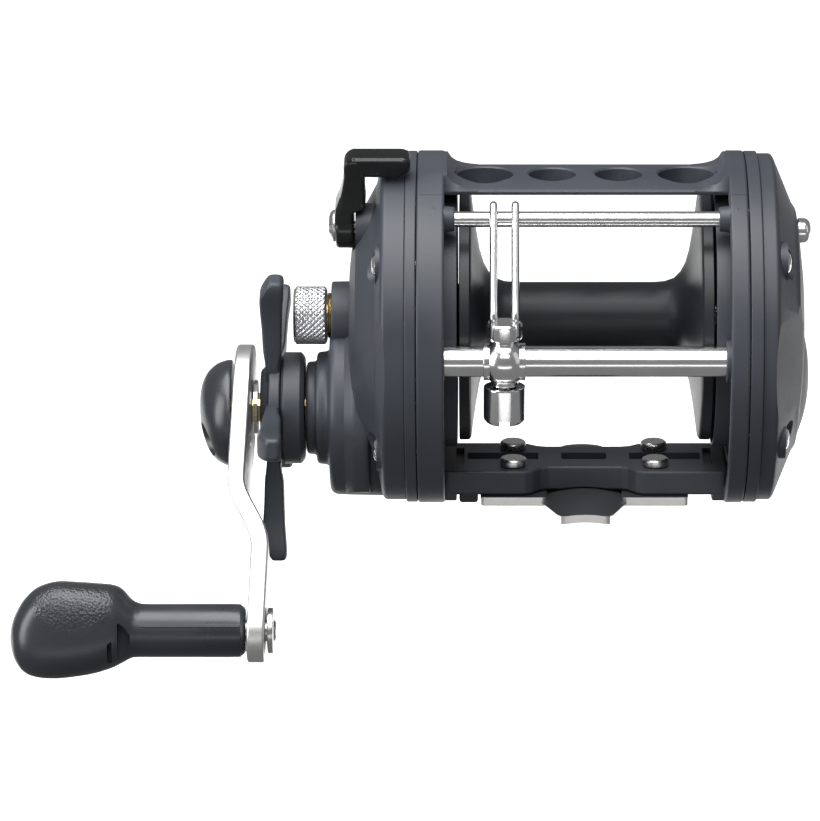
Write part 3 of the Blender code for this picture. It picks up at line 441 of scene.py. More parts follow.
def to_range(tree, value, low, high, start=0.3, end=0.7):
    """Spread a value that runs from start to end over low to high."""
    spread = add(tree, "MapRange", Value=value, From_Min=start, From_Max=end, To_Min=low, To_Max=high)
    return spread.outputs["Result"]


def mix_colour(tree, factor, first, second):
    mix = tree.nodes.new("ShaderNodeMix")
    mix.data_type = "RGBA"
    fill(tree, mix.inputs, Factor=factor, A=(*first, 1.0), B=(*second, 1.0))
    return mix.outputs["Result"]


def bump(tree, height, strength, distance, **more):
    node = add(tree, "Bump", Height=height, Strength=strength, Distance=distance, **more)
    return node.outputs["Normal"]


def moulded(name, colour, roughness, depth=0.25, specular=0.5, spread=0.12):
    """Moulded plastic: a fine spark-eroded grain, and broad patches where it is duller."""
    material, tree, shader = new_material(name)
    broad = noise(tree, 45.0, 4.0)
    grain = noise(tree, 5200.0, 2.0)
    lighter = tuple(min(1.0, c * 1.18 + 0.001) for c in colour)
    darker = tuple(c * 0.86 for c in colour)
    duller = to_range(tree, broad, roughness - spread / 2, roughness + spread / 2)
    fill(tree, shader, Specular_IOR_Level=specular,
         Base_Color=mix_colour(tree, to_range(tree, broad, 0.0, 1.0), darker, lighter),
         Roughness=combined(tree, "ADD", duller, to_range(tree, grain, -0.04, 0.04)),
         Normal=bump(tree, grain, depth, 0.00004))
    return material


def metal(name, colour, roughness, stretch=(1.0, 1.0, 1.0), depth=0.05, spread=0.06):
    """Metal with fine tool marks; stretch draws them out along an axis."""
    material, tree, shader = new_material(name)
    marks = noise(tree, 900.0, stretch=stretch)
    darker = tuple(c * 0.9 for c in colour)
    fill(tree, shader, Metallic=1.0,
         Base_Color=mix_colour(tree, to_range(tree, noise(tree, 120.0), 0.0, 1.0), darker, colour),
         Roughness=to_range(tree, marks, max(0.02, roughness - spread), roughness + spread),
         Normal=bump(tree, marks, depth, 0.00003))
    return material


def woven(name, colour):
    """Woven carbon: a checker of light and dark threads."""
    material, tree, shader = new_material(name)
    weave = add(tree, "TexChecker", Vector=own_space(tree), Scale=1400.0, Color1=(*colour, 1.0),
                Color2=(*(c * 2.2 for c in colour), 1.0))
    fill(tree, shader, Roughness=0.6, Base_Color=weave.outputs["Color"],
         Normal=bump(tree, weave.outputs["Fac"], 0.3, 0.00003))
    return material


GRAPHITE = moulded("graphite", (0.031, 0.036, 0.046), 0.5)
SPOOL_BLACK = moulded("spool_black", (0.013, 0.0145, 0.018), 0.4, depth=0.06, specular=0.35)
GLOSS = moulded("gloss_black", (0.006, 0.0065, 0.007), 0.2, depth=0.03, spread=0.06)
KNOB = moulded("knob_black", (0.022, 0.0245, 0.03), 0.34, depth=0.06)
RUBBER = moulded("bumper_black", (0.012, 0.013, 0.015), 0.5)
FOOT_BLACK = moulded("foot_black", (0.034, 0.036, 0.04), 0.45)
NYLON = moulded("white_nylon", (0.7, 0.67, 0.56), 0.45, depth=0.1)
ALUMINIUM = metal("satin_aluminium", (0.74, 0.74, 0.73), 0.4, (1.0, 9.0, 9.0), depth=0.1)
CHROME = metal("chrome", (0.85, 0.85, 0.86), 0.18, depth=0.0, spread=0.02)
KNURLED = metal("knurled_chrome", (0.8, 0.8, 0.82), 0.34, depth=0.0)
TURNED_CHROME = metal("turned_chrome", (0.84, 0.84, 0.85), 0.2, (1.0, 6.0, 6.0), depth=0.0, spread=0.03)
STEEL = metal("stainless_steel", (0.62, 0.61, 0.6), 0.28)
BARE_EDGE = metal("bare_edge", (0.8, 0.79, 0.77), 0.34, (1.0, 1.0, 12.0), depth=0.12)
BRASS = metal("brass", (0.83, 0.6, 0.22), 0.2)
CARBON = woven("carbon_fibre", (0.02, 0.02, 0.022))


# ---------------------------------------------------------------- frame and covers

ARCH_RADIUS = 27.0


def arch_line(half_width, crown, steps=24):
    """(x, z) points of the foot's arch, from its right end to its left end."""
    points = []
    for i in range(steps + 1):
        x = half_width - 2 * half_width * i / steps
        points.append((x, crown - ARCH_RADIUS + math.sqrt(ARCH_RADIUS ** 2 - x ** 2)))
    return points


def lug(x0, x1, inner, outer, spread):
    """A sector of a ring, centred on the top."""
    outline = arc(RING_AXIS, inner, 90 - spread, 90 + spread, 24)
    outline += arc(RING_AXIS, outer, 90 + spread, 90 - spread, 24)
    return prism(outline, x0, x1)


def frame_rings():
    """The two side rings and the base between them, moulded as one piece."""
    body = None
    for side, end, web in ((-1, LEFT_RING_END, (36.5, 39.5)), (1, RIGHT_RING_END, (35.6, 38.2))):
        profile = [(web[0], 0), (web[0], RING_BORE), (WINDOW + 1.2, RING_BORE), (WINDOW, 39.6),
                   (WINDOW, RING_RADIUS), (end, RING_RADIUS), (end, RING_BORE), (web[1], RING_BORE),
                   (web[1], 0)]
        ring = lathe(rounded(sided(profile, side), 0.7), RING_AXIS, FINE)
        root = side * (web[0] + 0.5)
        boss = [(web[0] + 0.5, 0), (web[0] + 0.5, 3.6), (33.2, 3.1), (31.5, 2.9), (31.5, 0)]
        bar_boss = lathe(sided(boss, side), BAR_AXIS, 40, 0.4)
        socket = rod(33.0 if side > 0 else -33.9, root, 5.0, WORM_AXIS, TINY, 0.4)
        rib = tube(side * (web[0] + 0.2), side * (web[0] - 0.7), 33.6, 31.9, RING_AXIS, MEDIUM, 0.3)
        heel = common(tube(side * 31.2, side * 34.6, 42.6, 39.0, RING_AXIS, FINE, 0.4),
                      box(side * 31.2 - 5, side * 31.2 + 5, -12.0, 12.0, -5, 4))
        lip = tube(side * 31.0, root, 32.0, 31.0, SPOOL_AXIS, FINE, 0.25)
        ring = union(ring, bar_boss, socket, rib, heel, lip)
        body = ring if body is None else union(body, ring)
    body = union(body, base_bar())
    body = cut(body, lug(-44, 44, RING_BORE - 0.3, 46.0, LUG_ANGLE + 0.12))
    body = cut(body, rod(-37, 37, 4.0, WORM_AXIS), rod(-45, 45, 2.7, WORM_AXIS),
               rod(-33.8, 33.8, 2.1, BAR_AXIS),
               rod(-45, -35, 6.7, SPOOL_AXIS), rod(35, 45, 6.7, SPOOL_AXIS))
    place("frame_rings", body, GRAPHITE, "frame_assembly", ["frame"])


def base_bar():
    """The bar that carries the foot: narrow in the middle, with slots along it."""
    half = WINDOW + 1.0
    front = mirrored([(8.8, -7.9), (10.6, -8.7), (12.6, -11.2), (14.5, -12.1), (half, -12.1)])
    rear = mirrored([(9.0, 8.9), (11.2, 9.4), (13.6, 11.2), (16.0, 11.8), (half, 11.8)])[::-1]
    base = prism(rounded(front + rear, 2.0, closed=True), 1.6, BASE_TOP, "z", 0.7)
    arch = [(-12.2, -2.0)] + arch_line(11.6, 2.5)[::-1] + [(12.2, -2.0)]
    base = cut(base, prism(arch, -20, 20, "y"))
    for x0, x1 in ((-28.6, -11.2), (-5.5, 5.5), (11.2, 28.6)):
        slot = rounded([(x0, -2.0), (x1, -2.0), (x1, 3.2), (x0, 3.2)], 0.6, closed=True)
        base = cut(base, prism(slot, BASE_TOP - 3.6, BASE_TOP + 2, "z"))
    for x0, x1 in ((-31.4, -29.4), (29.4, 31.4)):
        base = cut(base, box(x0, x1, -6.0, 7.0, BASE_TOP - 1.2, BASE_TOP + 2))
    return base


# The thumb bar's section, as (y, z) points.
BAR_UPPER = [(7.3, 80.2), (-2.0, 80.5), (-8.0, 80.0), (-12.0, 79.1)]
BAR_LOWER = [(-13.2, 78.5), (-13.0, 77.6), (-6.0, 76.0), (7.2, 75.3)]


def shoulder(side):
    """The thumb bar's end, which sweeps up to the ring: only its upper surface rises."""
    sections = []
    lower = [(y, z + 0.05) for y, z in BAR_LOWER]
    for x, rise in ((26.0, -0.05), (28.0, 0.12), (29.6, 0.4), (31.2, 0.9), (32.4, 1.7), (33.2, 2.9),
                    (33.9, 4.0), (34.6, 4.2)):
        upper = [(y, z + rise) for y, z in BAR_UPPER]
        sections.append([(side * x, y, z) for y, z in lower + upper])
    return loft(sections)


def top_bar():
    """The thumb bar, with four holes and a lug at each end that completes the rings."""
    body = prism(rounded(BAR_LOWER + BAR_UPPER, 0.7, closed=True), -34.6, 34.6)
    for side, end in ((-1, LEFT_RING_END), (1, RIGHT_RING_END)):
        profile = [(WINDOW, RING_BORE + 0.2), (WINDOW, RING_RADIUS), (end, RING_RADIUS),
                   (end, RING_BORE + 0.2)]
        ring = lathe(rounded(sided(profile, side), 0.7, closed=True), RING_AXIS, FINE)
        sector = lug(min(side * 30, side * 50), max(side * 30, side * 50), 30, 46, LUG_ANGLE)
        sweep_up = common(shoulder(side), rod(-45, 45, RING_RADIUS - 0.1, RING_AXIS, FINE))
        body = union(body, common(ring, sector), sweep_up)
    for x, radius in ((-24.3, 6.8), (-8.0, 5.7), (8.0, 5.7), (24.3, 6.8)):
        body = cut(body, post(x, -2.8, 70, 90, radius, 64))
        rim = [(79.6, 0), (79.6, radius - 0.05), (80.0, radius), (81.4, radius + 1.4), (81.4, 0)]
        body = cut(body, stand(lathe(rim, (0, 0), SMALL), x, -2.8, 0))
    place("thumb_bar", body, GRAPHITE, "frame_assembly", ["top_bar"])


TRIM_GAP = 0.12


def trim_rings():
    for name, x0, x1 in (("left_trim", -LEFT_COVER_START, -LEFT_RING_END),
                         ("right_trim", RIGHT_RING_END, RIGHT_COVER_START)):
        ring = tube(x0 + TRIM_GAP, x1 - TRIM_GAP, RING_RADIUS - 0.1, 40.8, RING_AXIS, FINE, 0.35)
        place(name, ring, GRAPHITE, "frame_assembly", [f"{name}_ring"])


def screw_seats(cover, side, angles, floor, start):
    """Add a post inside the cover for each screw, then its recess and its hole."""
    for angle in angles:
        centre = forward(RING_AXIS, SCREW_CIRCLE, angle)
        cover = union(cover, rod(side * start, side * (floor + 1.0), 4.9, centre))
        profile = [(floor, 0), (floor, 3.9), (floor + 1.6, 4.1), (floor + 9, 6.2), (floor + 9, 0)]
        flare = lathe(sided(profile, side), centre, TINY)
        cover = cut(cover, flare, rod(side * (start - 1), side * (floor + 1), 1.75, centre, 24))
    return cover


def front_facets(cover, side, rim_x, cone_x):
    """Flatten the cone a little at the front and the rear, between the cover's screws."""
    for face in (-1, 1):
        facet = [(rim_x, face * 43.6), (cone_x, face * 22.5), (75.0, face * 22.5), (75.0, face * 60.0),
                 (rim_x, face * 60.0)]
        slab = common(prism(sided(facet, side), 10.0, 75.0, "z"),
                      box(side * 60 - 30, side * 60 + 30, -60, 60, 25.5, 58.5))
        cover = cut(cover, slab)
    return cover


def left_cover():
    """The handle-side cover, with the gear housing, the neck and the cast control's boss."""
    start = -LEFT_COVER_START
    outer = [(-57.2, 0), (-57.2, 15.0), (-56.5, 21.6), (-55.4, 26.5), (-52.8, 30.9), (-50.6, 35.0),
             (-49.3, 41.0), (-48.6, COVER_RADIUS), (start + 0.1, COVER_RADIUS), (start, COVER_RADIUS - 0.5),
             (start, 0)]
    cover = lathe(outer[:1] + rounded(outer[1:-1], 1.2) + outer[-1:], RING_AXIS, FINEST)
    housing = [(-45.0, 0), (-45.0, 21.6), (-57.0, 21.4), (-62.2, 21.2), (-62.2, 14.0), (-65.5, 13.7),
               (-65.5, 11.4), (-68.0, 11.4), (-68.0, 0)]
    cover = union(cover, lathe(rounded(housing, 2.4, steps=6), CRANK_AXIS, FINE))
    fillet = [(-52.0, 0), (-52.0, 23.6), (-56.2, 22.9), (-57.6, 21.9), (-58.6, 21.2), (-58.6, 0)]
    cover = union(cover, common(lathe(rounded(fillet, 3.0), CRANK_AXIS, FINE),
                                rod(-60, -50, COVER_RADIUS - 1.6, RING_AXIS, FINE)))
    control_boss = rounded([(-50.0, 0), (-50.0, 8.5), (-61.7, 8.3), (-61.7, 0)], 0.6)
    cover = union(cover, lathe(control_boss, SPOOL_AXIS, SMALL))
    cover = union(cover, rod(-50.6, -55.4, 5.5, LEVER_AXIS, TINY))
    cover = front_facets(cover, -1, 47.4, 56.6)
    inside = [(-40.0, 0), (-40.0, 39.6), (-47.4, 39.4), (-48.6, 34.0), (-53.2, 25.0), (-54.9, 16.0),
              (-54.9, 0)]
    cover = cut(cover, lathe(inside, RING_AXIS, MEDIUM))
    gear_room = [(-40.0, 0), (-40.0, 19.6), (-59.4, 19.6), (-60.2, 18.0), (-60.2, 0)]
    cover = cut(cover, lathe(gear_room, CRANK_AXIS, MEDIUM))
    cover = cut(cover, rod(-59.9, -67.3, 8.3, CRANK_AXIS), rod(-67.0, -70.0, 5.2, CRANK_AXIS),
                rod(-50.0, -59.8, 6.7, SPOOL_AXIS), rod(-59.0, -64.0, 4.3, SPOOL_AXIS),
                rod(-48.0, -57.0, 2.8, LEVER_AXIS), rod(-55.4, -60.0, 6.0, LEVER_AXIS))
    cover = screw_seats(cover, -1, LEFT_SCREW_ANGLES, 49.3, LEFT_COVER_START)
    place("left_side_cover", cover, GRAPHITE, "frame_assembly", ["left_cover"])


def right_cover():
    """The far cover: a cone with a raised lower dome, and a recess for the clicker's button."""
    start = RIGHT_COVER_START
    outer = [(53.8, 0), (52.8, 16.2), (51.6, 26.4), (51.1, 29.2), (50.2, 30.5), (45.8, 41.2),
             (45.1, COVER_RADIUS), (start, COVER_RADIUS), (start, 0)]
    cover = lathe(outer[:1] + rounded(outer[1:-1], 1.0) + outer[-1:], RING_AXIS, FINEST)
    dome = [(50.9, 0), (50.9, 16.8), (52.35, 14.0), (53.7, 10.0), (54.5, 6.0), (54.8, 2.5), (54.9, 0)]
    dome = lathe(smooth_line(dome, 4), (0.0, RING_AXIS[1] - 12.0), 96)
    cover = union(cover, common(dome, rod(49.0, 60.0, 29.0, RING_AXIS, MEDIUM)))
    cover = front_facets(cover, 1, 44.2, 52.6)
    inside = [(40.0, 0), (40.0, 40.4), (44.2, 40.2), (48.0, 30.0), (49.4, 26.0), (50.6, 16.0), (51.2, 0)]
    cover = cut(cover, lathe(inside, RING_AXIS, MEDIUM))
    low = (CLICK_AXIS[0], CLICK_AXIS[1] - CLICK_TRAVEL)
    cover = cut(cover, prism(belt(CLICK_AXIS, 3.7, low, 3.7), 51.3, 60),
                prism(belt(CLICK_AXIS, 1.7, low, 1.7), 40, 60))
    cover = screw_seats(cover, 1, RIGHT_SCREW_ANGLES, 46.6, RIGHT_COVER_START)
    place("right_side_cover", cover, GRAPHITE, "frame_assembly", ["right_cover"])


def cross_recess(x0, x1, centre, arm, width):
    """Two crossing bars, for a screwdriver."""
    y, z = centre
    return (box(x0, x1, y - width, y + width, z - arm, z + arm),
            box(x0, x1, y - arm, y + arm, z - width, z + width))


def cover_screws():
    """Domed cross-head screws; the rear pairs have no node of their own."""
    for name, side, angles, seat in (("left_cover_screw", -1, LEFT_SCREW_ANGLES, 49.6),
                                     ("right_cover_screw", 1, RIGHT_SCREW_ANGLES, 46.9)):
        profile = [(37.4, 0), (37.4, 1.4), (seat, 1.4), (seat, 2.9), (seat + 0.5, 2.9), (seat + 1.1, 2.5),
                   (seat + 1.5, 1.8), (seat + 1.7, 0.9), (seat + 1.75, 0)]
        for number, angle in enumerate(angles, 1):
            centre = forward(RING_AXIS, SCREW_CIRCLE, angle)
            screw = lathe(sided(profile, side), centre, 40)
            screw = cut(screw, *cross_recess(side * (seat + 0.9), side * (seat + 3), centre, 1.5, 0.3))
            node = [f"{name}_{number}"] if number <= 2 else []
            place(f"{name}_head_{number}", screw, CHROME, "frame_assembly", node)


# ---------------------------------------------------------------- foot and bars

FOOT_THICKNESS = 2.0


def foot():
    """The rod foot: black on its faces, bare metal on its cut edges."""
    half_length, wing = span("foot_plate", 1)[1], 13.1
    sections = []
    for y, width in mirrored([(wing, 10.3), (half_length - 2.6, 6.8), (half_length - 0.8, 5.9),
                              (half_length, 4.2)]):
        top = arch_line(width, 2.0)
        sections.append([(x, y, z) for x, z in top] + [(x, y, z - FOOT_THICKNESS) for x, z in top[::-1]])
    plate = loft(sections)
    wing_x = span("foot_plate", 0)[1]
    for side in (-1, 1):
        outline = sided([(9.2, -wing), (wing_x, -wing), (wing_x, wing), (9.2, wing)], side)
        plate = union(plate, prism(rounded(outline, 1.2, closed=True), -0.8, 1.4, "z", 0.12))
    place("foot", plate, [FOOT_BLACK, BARE_EDGE], "frame_assembly", ["foot_plate"])
    for face in plate.polygons:
        face.material_index = 1 if abs(face.normal.z) < 0.55 else 0
    for number in range(1, 5):
        low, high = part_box(f"foot_screw_{number}")
        x, y = (low[0] + high[0]) / 2 / MM, (low[1] + high[1]) / 2 / MM
        top = high[2] / MM
        profile = [(top - 2.0, 0), (top - 2.0, 3.2), (top - 0.5, 3.2), (top - 0.1, 2.7), (top, 1.8),
                   (top + 0.02, 0)]
        screw = union(lathe(rounded(profile, 0.3), (0, 0), TINY), rod(-0.5, top - 1.9, 1.6, (0, 0), 32))
        place(f"foot_bolt_{number}", stand(screw, x, y, 0), STEEL, "frame_assembly",
              [f"foot_screw_{number}"])
    (x0, x1), (y0, y1), (z0, z1) = (span("foot_bumper", axis) for axis in range(3))
    block = prism(rounded([(x0, z0), (x1, z0), (x1, z1), (x0, z1)], 0.8, closed=True), y0, y1, "y", 0.5)
    place("bumper", block, RUBBER, "frame_assembly", ["foot_bumper"])


def bars():
    low, high = span("level_wind_tube", 0)
    slot = box(-27.5, 27.5, WORM_AXIS[0] - 1.5, WORM_AXIS[0] + 1.5, WORM_AXIS[1] - 8, WORM_AXIS[1] - 1.5)
    pipe = cut(tube(low, high, 3.65, 3.0, WORM_AXIS, MEDIUM, 0.2), slot)
    place("guide_tube", pipe, TURNED_CHROME, "frame_assembly", ["level_wind_tube"])
    low, high = span("stabilizer_bar", 0)
    place("pillar_bar", rod(low, high, 1.9, BAR_AXIS, TINY, 0.3), TURNED_CHROME, "frame_assembly",
          ["stabilizer_bar"])


# ---------------------------------------------------------------- spool and line guide

def spool():
    """Deep flanges that sweep into a plain arbor."""
    end = span("spool", 0)[1]
    half = [(0.0, 8.2), (16.8, 8.2), (19.5, 8.4), (21.8, 9.2), (23.4, 10.8), (24.6, 13.0), (25.6, 16.4),
            (26.5, 21.5), (27.2, 26.5), (27.6, 29.6), (28.1, 30.3), (30.3, 30.35), (30.5, 30.1), (30.5, 28.6),
            (28.9, 27.8), (28.4, 11.0), (end - 0.2, 7.0), (end, 2.9)]
    profile = sided(half[::-1], -1) + half[1:]
    place("spool_body", lathe(profile, SPOOL_AXIS, FINE), SPOOL_BLACK, "spool_assembly",
          ["spool"])


def worm():
    """A shaft with two crossing helical grooves."""
    low, high = span("worm_shaft", 0)
    lead, stations, sides = 12.0, 260, 40
    reach, radius, groove_depth, groove_width = 27.0, 2.4, 0.55, 0.045
    sections = [loop_round(x, [2.2] * sides, WORM_AXIS) for x in (low, -33.0)]
    for i in range(stations + 1):
        x = -reach + 2 * reach * i / stations
        radii = []
        for k in range(sides):
            turn = k / sides
            near = min(abs((x / lead + sign * turn + 0.5) % 1.0 - 0.5) for sign in (-1, 1))
            radii.append(radius - groove_depth * min(1.0, max(0.0, 1.9 - near / groove_width)))
        sections.append(loop_round(x, radii, WORM_AXIS))
    for x, end_radius in ((33.0, 2.2), (38.4, 2.2), (38.5, 1.45), (high, 1.45)):
        sections.append(loop_round(x, [end_radius] * sides, WORM_AXIS))
    place("worm", loft(sections), STEEL, "worm", ["worm_shaft"])


def upright(mesh):
    """Stand a piece that was turned about X on the carriage's vertical axis."""
    return stand(mesh, CARRIAGE_X, *WORM_AXIS)


WIRE_RADIUS = 0.95
WIRE_SPACING = 2.6      # each wire's distance from the carriage's middle


def carriage():
    """The line guide: a turned body on the worm's tube, two hairpin wires and the pawl's cap."""
    y, z = WORM_AXIS
    ball = [(rise, radius) for radius, rise in arc((0, 0), 5.7, -54, 54, 18)]
    neck = [(4.9, 3.1), (5.4, 3.5), (5.9, 4.1), (6.4, 4.3), (8.9, 4.3), (9.1, 4.15), (9.3, 4.25), (9.7, 3.9),
            (9.7, 0)]
    body = upright(lathe([(-5.6, 0), (-5.6, 3.3), (-4.8, 3.3)] + ball + neck, (0, 0), 72))
    collar = tube(CARRIAGE_X - 5.0, CARRIAGE_X + 5.0, 4.45, 4.0, WORM_AXIS, 72, 0.25)
    body = union(body, collar)
    body = cut(body, rod(CARRIAGE_X - 12, CARRIAGE_X + 12, 4.0, WORM_AXIS, 72))
    body = cut(body, upright(rod(-9.0, -1.0, 2.7, (0, 0), 32)))
    for dx in (-WIRE_SPACING, WIRE_SPACING):
        for dy in (-2.2, 2.2):
            body = cut(body, post(CARRIAGE_X + dx, y + dy, z + 6.6, z + 12.0, 1.1, 24))
    place("guide_body", body, CHROME, "carriage", ["carriage_body"])
    for side, dx in (("left", -WIRE_SPACING), ("right", WIRE_SPACING)):
        wire = sweep(smooth_line(hairpin(CARRIAGE_X + dx), 6), WIRE_RADIUS)
        place(f"hairpin_{side}", wire, CHROME, "carriage", [f"guide_wire_{side}"])
    cap = lathe([(-15.0, 0), (-15.0, 4.0), (-14.7, 4.4), (-14.1, 4.9), (-13.7, 5.0), (-6.5, 5.0), (-6.1, 4.9),
                 (-6.0, 4.6), (-6.0, 2.8), (-11.8, 2.8), (-11.8, 0)], (0, 0), 72)
    cap = cut(upright(cap), box(CARRIAGE_X - 1.2, CARRIAGE_X + 1.2, y - 8, y + 8, z - 20, z - 13.6))
    place("guide_cap", cap, CHROME, "carriage", ["pawl_cap"])


def hairpin(x):
    """Up in front of the pillar, over it and down behind."""
    y, z = WORM_AXIS
    foot, rim, knee = Vector((y, z + 7.0)), Vector((y, z + 10.2)), Vector((y + 0.6, z + 13.0))
    head = Vector(BAR_AXIS)
    lean = (head - knee).normalized()
    side = Vector((-lean.y, lean.x))
    spread = 3.4
    front = [foot + Vector((-2.2, 0)), rim + Vector((-2.2, 0)), knee + Vector((-2.2, 0.8)),
             head + side * spread]
    over = []
    for degrees in (30, 60, 90, 120, 150):
        turn = math.radians(degrees)
        over.append(head + spread * (math.cos(turn) * side + math.sin(turn) * lean))
    rear = [head - side * spread, knee + Vector((2.6, -1.6)), rim + Vector((2.2, 0)), foot + Vector((2.2, 0))]
    return [(x, p.x, p.y) for p in front + over + rear]


# ---------------------------------------------------------------- lever, star and cast control

def lever_loop(x0, x1, low, high, width, corner):
    """A section across the lever, at a slant: its radius is low at x0 and high at x1."""
    points = []
    for x, across in soft_rectangle(x0, x1, width, corner):
        share = (x - x0) / (x1 - x0)
        points.append(spoke_point(x, RING_AXIS, low + (high - low) * share, across, LEVER_ANGLE))
    return points


LEVER_CORNER = 1.2


def lever():
    """The free-spool lever: a hub, an arm that leans out over the cover, and a thumb pad."""
    hub = lathe([(-60.2, 0), (-60.2, 5.4), (-55.8, 5.4), (-55.8, 0)], LEVER_AXIS, SMALL, 0.9)
    arm = []
    for radial, x0, x1, width in smooth_line(((27.5, -60.0, -55.9, 4.7), (31.5, -60.4, -55.9, 4.6),
                                              (34.4, -60.3, -55.6, 4.2), (35.8, -59.9, -53.1, 4.0),
                                              (38.5, -59.0, -53.0, 3.6), (41.5, -58.4, -53.0, 3.3),
                                              (43.4, -58.1, -53.1, 3.1)), 4):
        arm.append(lever_loop(x0, x1, radial, radial, width, LEVER_CORNER))
    corner_centre = (-55.0, 46.1)
    for degrees in (8, 26, 44, 62, 80):
        turn = math.radians(degrees)
        outer = (corner_centre[0] - 3.1 * math.cos(turn), corner_centre[1] + 3.1 * math.sin(turn))
        inner = (-53.0 + 0.3 * math.sin(turn), 44.4 - 0.6 * math.sin(turn))
        arm.append(lever_loop(outer[0], inner[0], outer[1], inner[1], 3.05, LEVER_CORNER))
    pad = []
    for x, low, high, width in ((-56.0, 43.6, 49.2, 3.0), (-46.0, 43.4, 49.2, 3.0), (-44.6, 43.6, 49.2, 3.0),
                                (-43.7, 44.4, 49.1, 3.0), (-42.8, 44.6, 48.8, 2.8), (-42.3, 45.0, 48.2, 2.3),
                                (-42.1, 45.6, 47.4, 1.7)):
        outline = soft_rectangle(low, high, width, min(1.9, width * 0.55))
        pad.append([spoke_point(x, RING_AXIS, radial, across, LEVER_ANGLE) for radial, across in outline])
    place("free_spool_lever", joined(hub, loft(arm), loft(pad)), GLOSS, "lever",
          ["clutch_lever"])
    screw = lathe([(-52.2, 0), (-52.2, 1.15), (-60.3, 1.15), (-60.3, 3.9), (-60.8, 3.9), (-61.5, 3.3),
                   (-61.9, 2.2), (-61.95, 0)], LEVER_AXIS, TINY)
    slot = box(-63, -61.1, -0.5, 0.5, -6, 6)
    slot.transform(Matrix.Translation((0, *LEVER_AXIS)) @ Matrix.Rotation(math.radians(100), 4, "X"))
    place("lever_bolt", cut(screw, slot), STEEL, "lever", ["lever_screw"])


def star():
    """The star drag: a hub with five arms that thicken into blocks at their tips."""
    hub = [(-79.2, 0), (-79.2, 9.2), (-78.3, 10.1), (-77.3, 10.8), (-76.9, 13.2), (-74.2, 13.2), (-74.2, 0)]
    body = lathe(hub, CRANK_AXIS, MEDIUM, 0.5)
    stations = smooth_line(((8.0, -77.5, -74.4, 4.6), (14.6, -77.9, -74.3, 3.6), (18.0, -78.3, -73.7, 3.1),
                            (24.0, -78.5, -73.5, 2.7), (29.0, -78.8, -73.3, 2.6), (33.0, -78.8, -73.0, 2.9),
                            (35.2, -77.9, -72.9, 3.0), (36.7, -77.0, -73.0, 2.8), (37.4, -76.5, -73.5, 2.3),
                            (37.6, -76.1, -74.1, 1.8)), 3)
    for i in range(STAR_ARMS):
        angle = STAR_ANGLE + 360.0 * i / STAR_ARMS
        sections = []
        for radial, x0, x1, width in stations:
            outline = soft_rectangle(x0, x1, width, 1.1)
            sections.append([spoke_point(x, CRANK_AXIS, radial, across, angle) for x, across in outline])
        body = union(body, loft(sections))
    place("star_drag_wheel", cut(body, rod(-90, -60, 4.0, CRANK_AXIS)), GRAPHITE, "star_drag",
          ["star_wheel"])
    sleeve = [(-74.0, 3.9), (-74.0, 12.8), (-73.4, 13.7), (-69.4, 13.7), (-68.9, 13.2), (-68.4, 12.4),
              (-68.4, 3.9)]
    place("star_hub", lathe(sleeve, CRANK_AXIS, MEDIUM, 0.35), GRAPHITE, "star_drag",
          ["star_sleeve"])


def cast_control():
    """The knurled cap of the cast control, and the brass bush behind it."""
    bush = [(-59.9, 2.9), (-59.9, 4.0), (-61.85, 4.0), (-61.85, 5.5), (-62.3, 5.6), (-62.6, 5.4),
            (-62.6, 4.0), (-66.4, 4.0), (-66.4, 2.9)]
    place("control_bush", lathe(bush, SPOOL_AXIS, SMALL), BRASS, "frame_assembly",
          ["control_bushing"])
    rows, sides, starts = 46, 180, 30
    low, high = -70.3, -63.3
    cap_radius, knurl_depth, knurl_pitch = 7.1, 0.32, 1.45

    def groove(value):
        return max(0.0, 1.0 - abs(value % 1.0 - 0.5) / 0.2)

    sections = []
    for x, radius in ((-71.0, 5.9), (-70.9, 6.4), (-70.5, 6.75)):
        sections.append(loop_round(x, [radius] * sides, SPOOL_AXIS))
    for i in range(rows + 1):
        x = low + (high - low) * i / rows
        along = (x - low) / knurl_pitch
        radii = []
        for k in range(sides):
            around = starts * k / sides
            radii.append(cap_radius - knurl_depth * max(groove(around + along), groove(around - along)))
        sections.append(loop_round(x, radii, SPOOL_AXIS))
    for x, radius in ((-63.1, 6.75), (-62.85, 6.5), (-62.75, 6.1)):
        sections.append(loop_round(x, [radius] * sides, SPOOL_AXIS))
    cap = cut(loft(sections), rod(-68.4, -60.0, 4.4, SPOOL_AXIS, TINY))
    place("control_knob", cap, KNURLED, "cast_control", ["control_cap"])


def click_button():
    low = span("click_button", 0)[0]
    profile = [(low, 0), (low, 1.3), (51.6, 1.3), (51.6, 2.7), (51.8, 3.1), (53.2, 3.1), (53.9, 2.9),
               (54.5, 2.3), (54.85, 1.2), (54.9, 0)]
    place("clicker_button", lathe(profile, CLICK_AXIS, TINY), CHROME, "clicker",
          ["click_button"])


# ---------------------------------------------------------------- handle

BEND_START, BEND_END = 25.5, 43.5
ARM_OUTER = -85.5
ARM_BEND = 6.65
ARM_LEAN = 0.035
ARM_THICKNESS = 4.2
ARM_EDGE = 0.7
ARM_BIG_RADIUS, ARM_SMALL_RADIUS = 15.6, 7.7


def arm_outer(s):
    """Where the arm's outer face is, at a distance s from the crank axis."""
    share = min(1.0, max(0.0, (s - BEND_START) / (BEND_END - BEND_START)))
    return ARM_OUTER - ARM_LEAN * s + ARM_BEND * (3 * share ** 2 - 2 * share ** 3)


def arm_point(x, s, across):
    """A point of the handle: s along the arm, then across it the way that degrees fall."""
    return spoke_point(x, CRANK_AXIS, s, -across, ARM_ANGLE)


